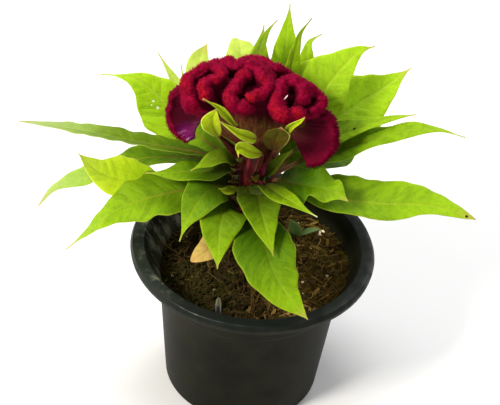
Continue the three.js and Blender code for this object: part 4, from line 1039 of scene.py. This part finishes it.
def makeShoots(form, finish):
    # small dark leaves in the axils, thick round the front of the stem
    draw = np.random.default_rng(71)
    blades = []
    for k in range(form["count"]):
        turn = form["turns"][0] + form["turns"][1] * (k * goldenShare % 1) + draw.uniform(-5, 5)
        height = draw.uniform(*form["heights"])
        reach, lift = draw.uniform(*form["reach"]), draw.uniform(0.1, 0.9)
        heading = np.array([math.cos(math.radians(turn)), 0.8 * math.sin(math.radians(turn)), lift])
        foot = [leafRoot([turn, height], out) for out in (0.2, 2.2)]
        path = [foot[1] + heading * reach * share + [0, 0, -3.5 * share ** 2] for share in (0.35, 0.7, 1)]
        wide = draw.uniform(*form["width"]) * reach
        blades.append((foot + path, dict(
            halves=(wide, wide), face=(-0.5 * heading[0], -0.5 * heading[1] - 0.3, 1), fold=14,
            wave=(0.6, 1.5, draw.random()), stalk=0.25, tint=draw.uniform(0, 0.4))))
    for k, (points, shape) in enumerate(blades):
        rings, marks = bladeRings(points, shape, smallForm, 200 + k)
        addPiece(f"axil_leaf_{k + 1}", *tube(rings), finish, "leaf_dark", marks=marks)


def makeLeaves():
    finishes = {name: leafFinish(name, tone) for name, tone in leafTones.items()}

    def addBlade(name, points, shape, form, seed, nodes=()):
        rings, marks = bladeRings(points, shape, form, seed)
        tone = shape.get("tone", usualBlade["tone"])
        addPiece(name, *tube(rings), finishes[tone], leafTones[tone]["slot"], nodes, marks=marks)

    for seed, (name, shape) in enumerate((leafShapes | bractShapes).items(), 100):
        points = [leafRoot(shape["root"], reach) for reach in (0.3, 0.3 + bladeForm["exit"])] + shape["path"]
        addBlade(name + "_blade", points, shape, bladeForm, seed, [name])
    addBlade("seedling_blade", seedlingShape["path"], seedlingShape, bladeForm, 99, ["seedling"])
    for seed, (name, shape) in enumerate(smallBlades.items(), 90):
        addBlade(name, shape["path"], shape, smallForm, seed)
    makeShoots(shootForm, finishes["wine"])


makeLeaves()
print("leaves made")


# rows of the comb's fan-shaped body: height, x and y of the middle, half width, half depth
combRows = [
    (190.3, -3, 0, 8.8, 5.2), (195, -3, 0, 14, 6), (200, -5, 0, 21, 7.5), (207, -7, 0, 30, 9),
    (214, -8, 0, 37, 10.5), (221, -9, 1, 40, 11.5), (227, -9, 1, 37, 11), (232, -9, 0, 32, 10),
    (236, -9, -2, 26, 9), (238, -9, -3, 16, 5.5), (238.5, -9, -3, 7, 2),
]

# edge: the line that a ruffle's thick edge follows; heart: where it runs back to; rooted: the shares of the way
# to the edge that it leaves out, at its start and from its middle on; swell and glow: the edge's radii and how
# much painted light reddens it, spread evenly along it; dim: a factor on its openness, the lower the darker its
# painted shade
usualRuffle = dict(rooted=(0.5, 0.5), dim=1)
ruffles = [
    dict(  # left end
        heart=(-22, 2, 210), rooted=(0.85, 0.3), swell=(2.3, 2.2), glow=(0.1, 0.1), dim=0.55,
        edge=[(-45, -5, 195.5), (-51.5, -5, 199.5), (-56.5, -2, 206), (-58, 1, 212.5), (-56.5, 3, 220),
            (-53, 4, 225.5), (-48.5, 5, 228.5)]),
    dict(  # left curl, from its low end over the top and back inwards
        heart=(-20, 0, 214), rooted=(0.45, 0.45), swell=(4.4, 4.3, 3, 3, 3.8),
        glow=(0.5, 0.8, 1, 0.6, 0.6, 1.1, 0.9, 1.1),
        edge=[(-40, -19, 228), (-43.5, -17, 230), (-45.5, -13, 232.5), (-46.5, -9, 236.5), (-45.5, -4, 239.5),
            (-41.5, 0, 242.5), (-35.5, 2, 244), (-30, 0, 245), (-27, -5, 244.5), (-30, -9, 243.5),
            (-34.5, -11, 243), (-37, -13, 240.5), (-36, -16, 238), (-34.5, -19, 236)]),
    dict(  # back edge
        heart=(-6, 4, 212), swell=(4, 4), glow=(0.5, 0.5),
        edge=[(-45.5, 6, 231), (-40.5, 9, 232.5), (-35.5, 12, 235.5), (-30, 17, 237), (-25, 15, 240),
            (-20.5, 9, 242), (-16.5, 12, 242), (-13.5, 18, 240), (-8.5, 21, 239.5), (-3.5, 17, 240.5),
            (1, 11, 241), (5, 14, 238.5), (9.5, 16, 234.5), (14, 12, 234), (18.5, 10, 233), (24, 8, 231.5),
            (28, 5, 228.5)]),
    dict(  # left side of the middle curl
        heart=(-9, 0, 212), swell=(3.6, 4), glow=(1.1, 1.0, 0.8, 0.9, 0.5, 0.1),
        edge=[(-12, -1, 244.5), (-15.5, -5, 243.5), (-18.5, -10, 241.5), (-21, -15, 239), (-20.5, -19, 236),
            (-17, -21, 234), (-12.5, -20, 234), (-9, -16, 234)]),
    dict(  # right side of the middle curl, ending inside it
        heart=(-7, 0, 213), swell=(4.4, 2.8), glow=(0.5, 0.6, 0.9, 0.8, 1, 1.15),
        edge=[(-14.5, 4, 245.5), (-10, 2, 246), (-5.5, -2, 244.5), (-1.5, -6, 243), (-0.5, -10, 241),
            (-3, -14, 239.5), (-7.5, -16, 239), (-12, -18, 238.5)]),
    dict(  # saddle between the middle curl and the back
        heart=(-4, 0, 212), swell=(4.4, 3.4), glow=(0.4, 0.4),
        edge=[(-11.5, 12, 242.5), (-6.5, 8, 243), (-2, 4, 241.5), (1, -2, 240)]),
    dict(  # right curl
        heart=(6, 0, 212), swell=(4.6, 3.6), glow=(1.1, 1.1, 0.9, 0.8, 0.65, 0.4, 0.2, 0.1),
        edge=[(21.5, -15, 230.5), (15.5, -18, 230), (10.5, -19, 231), (7, -17, 232.5), (5.5, -13, 235.5),
            (6, -8, 238.5), (7, -4, 241), (11, -1, 242), (15.5, -2, 242), (19.5, -5, 241), (20.5, -9, 238),
            (19.5, -13, 235.5)]),
    dict(  # small ruffle beside it
        heart=(10, 0, 214), swell=(3.5, 3.1), glow=(0.4, 0.7), dim=0.9,
        edge=[(19.5, 1, 239), (24.5, -2, 238), (28.5, -3, 235.5), (31.5, -5, 233), (29.5, -8, 230.5),
            (25, -11, 228.5), (21.5, -11, 227.5)]),
    dict(  # hanging fan at the right
        heart=(12, -3, 215), rooted=(0.25, 0.25), swell=(3.2, 2.4), glow=(0.1, 0.05), dim=0.55,
        edge=[(32, -5, 226), (37, -5, 221.5), (40.5, -7, 216), (41.5, -10, 209), (39, -12, 202.5),
            (34.5, -13, 197), (27, -12, 193.5)]),
]

# web: half thickness behind the edge; brow: the edge's angles in degrees and their number; curd, pleat, fold,
# sway, swelling: relief on the edge, behind it and at large; haired: where the nap starts on its sides
combForm = dict(
    rowStep=0.75, web=1.4, brow=(-48, 228, 27), curd=0.26, pleat=0.2, fold=0.9, sway=0.5, swelling=0.09,
    bodyRows=70, bodyColumns=260, bodyPleats=58, bodyCurd=0.5, violetBelow=208, pitAbove=222, haired=212,
    nap=dict(count=52000, length=(0.55, 1.15), width=0.19, uneven=0.3, lean=0.22, bend=0, rings=[(0, -0.2, 1)]),
    tufts=dict(count=9000, length=(1.0, 2.0), width=0.25, uneven=0.25, lean=0.26, bend=0.28,
               rings=[(-0.2, 0, 0.9), (0.6, 0, 0.85)]),
)
# the direction of the painted light on the comb
sunward = unit(np.array([-0.55, -0.68, 0.40]))


def surfaceNormals(rings):
    # outward normals of a closed tube's points
    down = np.gradient(rings, axis=0)
    across = np.roll(rings, -1, axis=1) - np.roll(rings, 1, axis=1)
    return unit(np.cross(across, down))


def ruffleSkin(ruffle, form, seed):
    ruffle = dict(usualRuffle, **ruffle)
    track, length = curveThrough(ruffle["edge"])
    rows = max(8, int(length / form["rowStep"]))
    t = np.linspace(0, 1, rows)
    centre, ahead = track(t)
    run = t * length
    line = np.stack([run, 0 * run, 0 * run], 1)

    def wander(count, short, long, shift):
        return ripples(line, count, short, long, seed + shift)

    rooted = np.interp(t, [0, 0.5], ruffle["rooted"])[:, None]
    root = np.asarray(ruffle["heart"]) * (1 - rooted) + centre * rooted
    out = unit(centre - root)
    side = unit(np.cross(out, ahead))
    inner = np.clip(np.minimum(t, 1 - t) * 6, 0, 1)[:, None]
    centre = centre + inner * form["sway"] * (side * wander(9, 5, 12, 0)[:, None]
                                              + out * wander(9, 5, 12, 1)[:, None])
    neck = centre * 0.55 + root * 0.45
    radius = evenly(ruffle["swell"], t) * (1 + form["swelling"] * wander(9, 6, 14, 2))
    ends = np.minimum(1, np.minimum(t, 1 - t) * length / 2.5 + 0.25) ** 0.5  # rounded off at both ends
    angles = np.radians(np.linspace(*form["brow"]))

    def flank(turn):
        # columns of points up one side, each with its crown and reach
        web = turn * side * form["web"]
        waist = centre + radius[:, None] * (turn * math.cos(angles[0]) * side + math.sin(angles[0]) * out)
        low = [(root * (1 - k) + neck * k + web, 0, 0.5 * k) for k in (0, 0.35, 0.7, 1.0)]
        return low + [((neck + web) * (1 - k) + waist * k, 0.05 * k, 0.5 + 0.3 * k) for k in (0.35, 0.7)]

    def brow(angle):
        # a column of the thick edge
        away = (radius * ends)[:, None] * (1 + 0.08 * math.sin(angle))
        high = max(0, math.sin(angle))
        return (centre + away * (math.cos(angle) * side + math.sin(angle) * out),
                0.12 + 0.88 * high ** 0.8, 0.85 + 0.15 * high)

    columns = flank(1) + [brow(angle) for angle in angles] + flank(-1)[::-1]
    rings = np.stack([place for place, _, _ in columns], 1)
    crown, reach = (np.tile([column[k] for column in columns], (rows, 1)) for k in (1, 2))
    normals = surfaceNormals(rings)
    # painted light: how much each point faces that light, scaled by the ruffle's glow
    blush = np.clip(0.5 + 0.55 * normals @ sunward, 0, 1) * evenly(ruffle["glow"], t)[:, None]
    curd = ripples(rings.reshape(-1, 3), 60, 2.0, 6.5, seed + 3).reshape(crown.shape)
    fold = wander(10, 7, 15, 4)[:, None] * np.clip(reach * 1.6, 0, 1) * (1 - np.clip(crown * 3, 0, 1))
    pleat = wander(24, 1.8, 6, 5)[:, None] * (0.7 + 0.3 * np.cos(reach * 9 + run[:, None] * 0.25))
    plush = np.clip(crown * 2, 0, 1)
    relief = form["curd"] * curd * plush + form["pleat"] * pleat * (1 - plush) * np.clip(reach * 3, 0.2, 1)
    marks = dict(crown=crown, run=np.repeat(run[:, None] + seed * 37, crown.shape[1], 1),
                 rise=0.78 + 0.22 * reach, blush=blush, dim=np.full(crown.shape, ruffle["dim"]))
    return rings + normals * relief[..., None] + side[:, None] * (form["fold"] * fold)[..., None], marks


def combBody(form):
    rows = np.asarray(combRows, float)
    values = np.stack([evenly(rows[:, k], np.linspace(0, 1, form["bodyRows"])) for k in range(5)], 1)
    for _ in range(2):  # soften the corners between the rows
        values[1:-1] = (values[:-2] + 2 * values[1:-1] + values[2:]) / 4
    z, x, y, a, b = (values[:, k][:, None] for k in range(5))
    turns = fullTurn(form["bodyColumns"])
    c, s, flat = np.cos(turns), np.sin(turns), np.zeros((len(z), len(turns)))
    wander = ripples(np.stack([30 * c, 30 * s, 0 * turns], 1), 20, 6, 20, 31)
    pleat = np.sin(turns * form["bodyPleats"] + 2.5 * wander)[None] * np.clip((z - 191) / 10, 0.2, 1)
    top = np.clip((z - 229) / 3, 0, 1)
    relief = form["pleat"] * pleat * (1 - top)
    rings = np.stack([x + (a + relief) * c, y + (b + relief) * s, z + flat], -1)
    curd = ripples(rings.reshape(-1, 3), 50, 2.5, 9, 33).reshape(flat.shape)
    rings = rings + surfaceNormals(rings) * (form["bodyCurd"] * curd * (0.3 + 0.7 * top))[..., None]
    crown = 0.04 * np.clip((z - 205) / 20, 0, 1) + 0.3 * np.clip((z - 230) / 3, 0, 1)
    west = np.clip((-30 - rings[..., 0]) / 10, 0, 1)
    return rings, dict(crown=crown + flat, run=30 * turns[None] + flat, rise=(z - 190) / 40 + 0.5 * west,
                       blush=flat, dim=1 + flat)


def openness(points, normals, tree, reach=16.0, rays=12):
    # share of short rays from each point that meet nothing
    k = np.arange(rays)
    lift = 1 - (k + 0.5) / rays * 0.85
    first, second = basis(normals, np.zeros(len(points)))
    clear = np.zeros(len(points))
    starts = (points + normals * 0.7).tolist()
    for lifted, level, turn in zip(lift, np.sqrt(1 - lift ** 2), k * goldenAngle):
        headings = (normals * lifted + level * (first * math.cos(turn) + second * math.sin(turn)))
        clear += [tree.ray_cast(p, h, reach)[0] is None for p, h in zip(starts, headings.tolist())]
    return clear / rays


# the pile's colours; the darkest maroon is also the painted shade of its hollows, the bright red the painted
# highlight of flanks turned to the light
velvet = dict(
    maroonAndShade=(0.078, 0.001, 0.013), shade=(0.140, 0.001, 0.022), flank=(0.345, 0.001, 0.036),
    ridge=(0.49, 0.006, 0.014), hair=(0.50, 0.012, 0.05), web=(0.034, 0.001, 0.006), silk=(0.10, 0.005, 0.016),
    purple=(0.19, 0.008, 0.12), lilac=(0.92, 0.55, 0.80), husk=(0.060, 0.036, 0.004),
    straw=(0.17, 0.105, 0.018), bark=(0.045, 0.014, 0.006), sheen=(1, 0.03, 0.12, 1),
)


def velvetFinish(name, sheen):
    return Finish(name, {"Specular IOR Level": 0.05, "Sheen Weight": sheen, "Sheen Roughness": 0.5,
                         "Sheen Tint": velvet["sheen"]})


def paintedLitRed(finish, colour):
    # painted light: the flanks turned to the light are painted a clear red
    patch = finish.noise(11, 3)
    bright = finish.mark("blush").between(0.62, 1.12) * finish.mark("clear").between(0.25, 0.8)
    bright = bright * finish.mark("crown").between(0.12, 0.4) * (0.7 + 0.3 * patch.between(0.35, 0.6))
    return finish.mix(bright, colour, velvet["ridge"])


def mottled(finish, colour, share=0.5):
    return finish.mix(finish.noise(1.8, 4).between(0.44, 0.6) * share, colour, velvet["maroonAndShade"])


def combFinish():
    finish = velvetFinish("comb_velvet", 0.12)
    crown, clear, rise, violet, run, high = (finish.mark(mark) for mark in (
        "crown", "clear", "rise", "violet", "run", "high"))
    bent = run * 0.8 + 1.6 * finish.noise(9, 2)
    silk = finish.woven(bent, rise * 3.5, 0.0, 5, 0.68)
    nap, cloud, patches = finish.noise(0.9, 3, 0.6), finish.noise(9, 3), finish.noise(1.8, 4)
    east = finish.axis("X").between(-0.045, -0.03)
    # painted shade: below, the webs' crimson and silky streaks show only where they are open, and stay dark in
    # hollows
    flank = rise.between(0.84, 0.97) * clear.between(0.2, 0.7) * east
    pale = finish.mix(silk.between(0.56, 0.70), velvet["purple"], velvet["lilac"])
    web = finish.layered(
        velvet["web"],
        (silk.between(0.42, 0.78) * clear.between(0.1, 0.6) * 0.7, velvet["silk"]),
        (flank * (0.22 + 0.38 * patches.between(0.40, 0.62)), velvet["flank"]),
        (violet * (0.4 + 0.6 * cloud.between(0.3, 0.6)), pale))
    # painted shade: the pile turns to dark maroon in its hollows, by their openness
    plush = paintedLitRed(finish, finish.mix(clear.between(0.12, 0.85), velvet["maroonAndShade"], velvet["flank"]))
    colour = finish.layered(
        velvet["husk"],
        (silk.between(0.42, 0.66), velvet["straw"]),
        ((1 - rise.between(0.2, 0.5)) * 0.6, velvet["bark"]),
        (rise.between(0.6, 0.9), web),
        # painted shade: the webs high in the comb, deep in its hollows, take the shaded maroon
        (high * 0.85, velvet["maroonAndShade"]),
        (crown.between(0.03, 0.3), plush),
        (nap.between(0.4, 0.75) * 0.35, velvet["maroonAndShade"]))
    return finish.done(mottled(finish, colour, 0.5 - 0.5 * violet), 0.62 + 0.3 * nap,
                       (nap * 0.5 + silk * 0.5, 0.5, 0.8))


def floretFinish():
    finish = velvetFinish("floret_velvet", 0.15)
    tip, clear, tone = (finish.mark(mark) for mark in ("tip", "clear", "tone"))
    # painted shade: florets standing in hollows are darker, by their openness
    colour = finish.layered(velvet["maroonAndShade"], (clear.between(0.12, 0.5), velvet["shade"]),
                            (clear.between(0.35, 0.85), velvet["flank"]))
    colour = finish.layered(
        paintedLitRed(finish, colour),
        (tone * 0.35, velvet["maroonAndShade"]),
        # painted light on the open tips of the florets, painted shade at their roots
        (tip.between(0.75, 1) * 0.10 * clear, velvet["hair"]),
        ((1 - tip.between(0, 0.6)) * 0.12, velvet["shade"]))
    return finish.done(mottled(finish, colour), 0.5 + 0.25 * finish.noise(0.6, 2))


def makeHairs(name, form, finish, draw, places, normals, sizes, marks):
    # slim three-sided spikes, each of one ring or more and a tip; rings: height by size, height and width
    count, sizes = len(places), sizes[:, None]
    lean = unit(normals + draw.normal(0, form["lean"], (count, 3)))
    first, second = basis(lean, draw.uniform(0, 2 * math.pi, count))
    bend = 0
    if form["bend"]:
        bend = (draw.normal(0, form["bend"], (count, 1)) * first
                + draw.normal(0, form["bend"], (count, 1)) * second)
    corners = fullTurn(3)[:, None]
    ring = np.cos(corners) * first[:, None] + np.sin(corners) * second[:, None]
    rows = []
    for share, rise, wide in form["rings"]:
        middle = places + lean * (sizes * share + rise) + bend * (sizes * max(share, 0) ** 2)
        uneven = draw.uniform(1 - form["uneven"], 1 + form["uneven"], (count, 1, 1))
        rows.append(middle[:, None] + ring * (form["width"] * wide * uneven))
    tips = places + lean * sizes + bend * sizes
    points = np.concatenate(rows + [tips[:, None]], 1)
    last, tip = 3 * len(rows) - 3, 3 * len(rows)
    quads, _ = tubeFaces(len(rows), 3)
    fans = np.array([(2, 1, 0)] + [(last + k, last + (k + 1) % 3, tip) for k in range(3)])
    spread = {mark: np.repeat(values, tip + 1) for mark, values in marks.items()}
    spread["tip"] = np.tile([max(share, 0) for share, _, _ in form["rings"] for _ in range(3)] + [1], count)
    piece = addPiece(name, points.reshape(-1, 3), repeated(quads, count, tip + 1),
                     repeated(fans, count, tip + 1), finish, "crest", marks=spread)
    # they take the shading of the skin they stand on, so the pile looks soft
    piece.data.normals_split_custom_set_from_vertices(np.repeat(normals, tip + 1, 0).tolist())


def combSkin(form):
    # body and ruffles as one mesh: points, normals, faces and marks
    skins = [combBody(form)] + [ruffleSkin(ruffle, form, 40 + 10 * k) for k, ruffle in enumerate(ruffles)]
    parts = dict(points=[], normals=[], quads=[], fans=[])
    kept, start = [], 0
    for k, (rings, marks) in enumerate(skins):
        points, quads, fans = tube(rings)
        normals = np.concatenate([surfaceNormals(rings).reshape(-1, 3), [[0, 0, -1], [0, 0, 1]]])
        for part, values in zip(parts.values(), (points, normals, quads + start, fans + start)):
            part.append(values)
        low = form["violetBelow"] - rings[..., 2] + 0.25 * (rings[..., 0] + 50)
        marks["violet"] = np.clip(low / 5, 0, 1) * (k == 1)  # the left end alone
        kept.append({mark: capped(values) for mark, values in marks.items()})
        start += len(points)
    marks = {mark: np.concatenate([skin[mark] for skin in kept]) for mark in kept[0]}
    return *(np.concatenate(part) for part in parts.values()), marks


def makeComb(form):
    points, normals, quads, fans, marks = combSkin(form)
    tree = BVHTree.FromPolygons(points.tolist(), quads.tolist() + fans.tolist())
    # openness, times each ruffle's dim, sets the painted shade of the hollows
    marks["clear"] = openness(points, normals, tree) * marks.pop("dim")
    marks["high"] = np.clip((points[:, 2] - form["pitAbove"]) / 8, 0, 1)
    addPiece("comb_skin", points, quads, fans, combFinish(), "crest", ["crest"], marks=marks)
    print("comb skin made:", len(quads) * 2 + len(fans), "triangles")

    draw = np.random.default_rng(51)
    corner = points[quads]
    area = np.linalg.norm(np.cross(corner[:, 2] - corner[:, 0], corner[:, 3] - corner[:, 1]), axis=1) / 2
    plush = marks["crown"][quads].mean(1)
    high = np.clip((corner[..., 2].mean(1) - form["haired"]) / 12, 0, 1)
    finish = floretFinish()

    def sown(count, worth):
        chosen = draw.choice(len(quads), count, p=worth / worth.sum())
        weights = draw.dirichlet((1, 1, 1, 1), count)[:, :, None]
        places = (corner[chosen] * weights).sum(1)
        facing = unit((normals[quads[chosen]] * weights).sum(1))
        shares = {mark: (marks[mark][quads[chosen]] * weights[..., 0]).sum(1)
                  for mark in ("crown", "clear", "blush")}
        shares["tone"] = draw.beta(1.5, 2.5, count)
        inside = openness(places, facing, tree, reach=5.0, rays=4) > 0.2  # none where two ruffles run together
        return places[inside], facing[inside], {mark: values[inside] for mark, values in shares.items()}

    nap, tufts = form["nap"], form["tufts"]
    places, facing, shares = sown(nap["count"], area * (0.45 * high + np.clip(plush * 4, 0, 1)))
    sizes = draw.uniform(*nap["length"], len(places))
    for part, half in enumerate(np.array_split(np.arange(len(places)), 2)):
        makeHairs(f"comb_nap_{part + 1}", nap, finish, draw, places[half], facing[half], sizes[half],
                  {mark: values[half] for mark, values in shares.items()})
    print("hairs of the nap:", len(places))
    places, facing, shares = sown(tufts["count"], area * np.clip(plush * 3 - 0.4, 0, 1))
    sizes = draw.uniform(*tufts["length"], len(places)) * (0.6 + 0.4 * shares["crown"])
    makeHairs("comb_tufts", tufts, finish, draw, places, facing, sizes, shares)
    print("tufts:", len(places))


fleckForm = dict(low=(9.4, -17.0, 240.2), top=(11.2, -16.0, 242.8), bow=0.5, radius=0.42, rows=9, columns=8,
                 pale=(0.86, 0.74, 0.76), rosy=(0.70, 0.52, 0.56))


def makeFleck(form):
    # a pale sliver in the right curl
    share, around = np.linspace(0, 1, form["rows"])[:, None, None], fullTurn(form["columns"])
    low, top = np.array(form["low"]), np.array(form["top"])
    middle = low + (top - low) * share + form["bow"] * np.sin(share * math.pi) * np.array([0.5, 0, 0.5])
    thick = form["radius"] * (0.25 + 0.75 * np.sin(share[..., 0] * math.pi))
    rings = middle + np.stack([thick * np.cos(around), thick * np.sin(around), 0 * thick * around], -1)
    finish = Finish("pale_fleck", {"Roughness": 0.5})
    sliverMaterial = finish.done(finish.mix(finish.noise(0.6, 2), form["pale"], form["rosy"]))
    addPiece("pale_fleck", *tube(rings), sliverMaterial, "crest")


makeComb(combForm)
makeFleck(fleckForm)
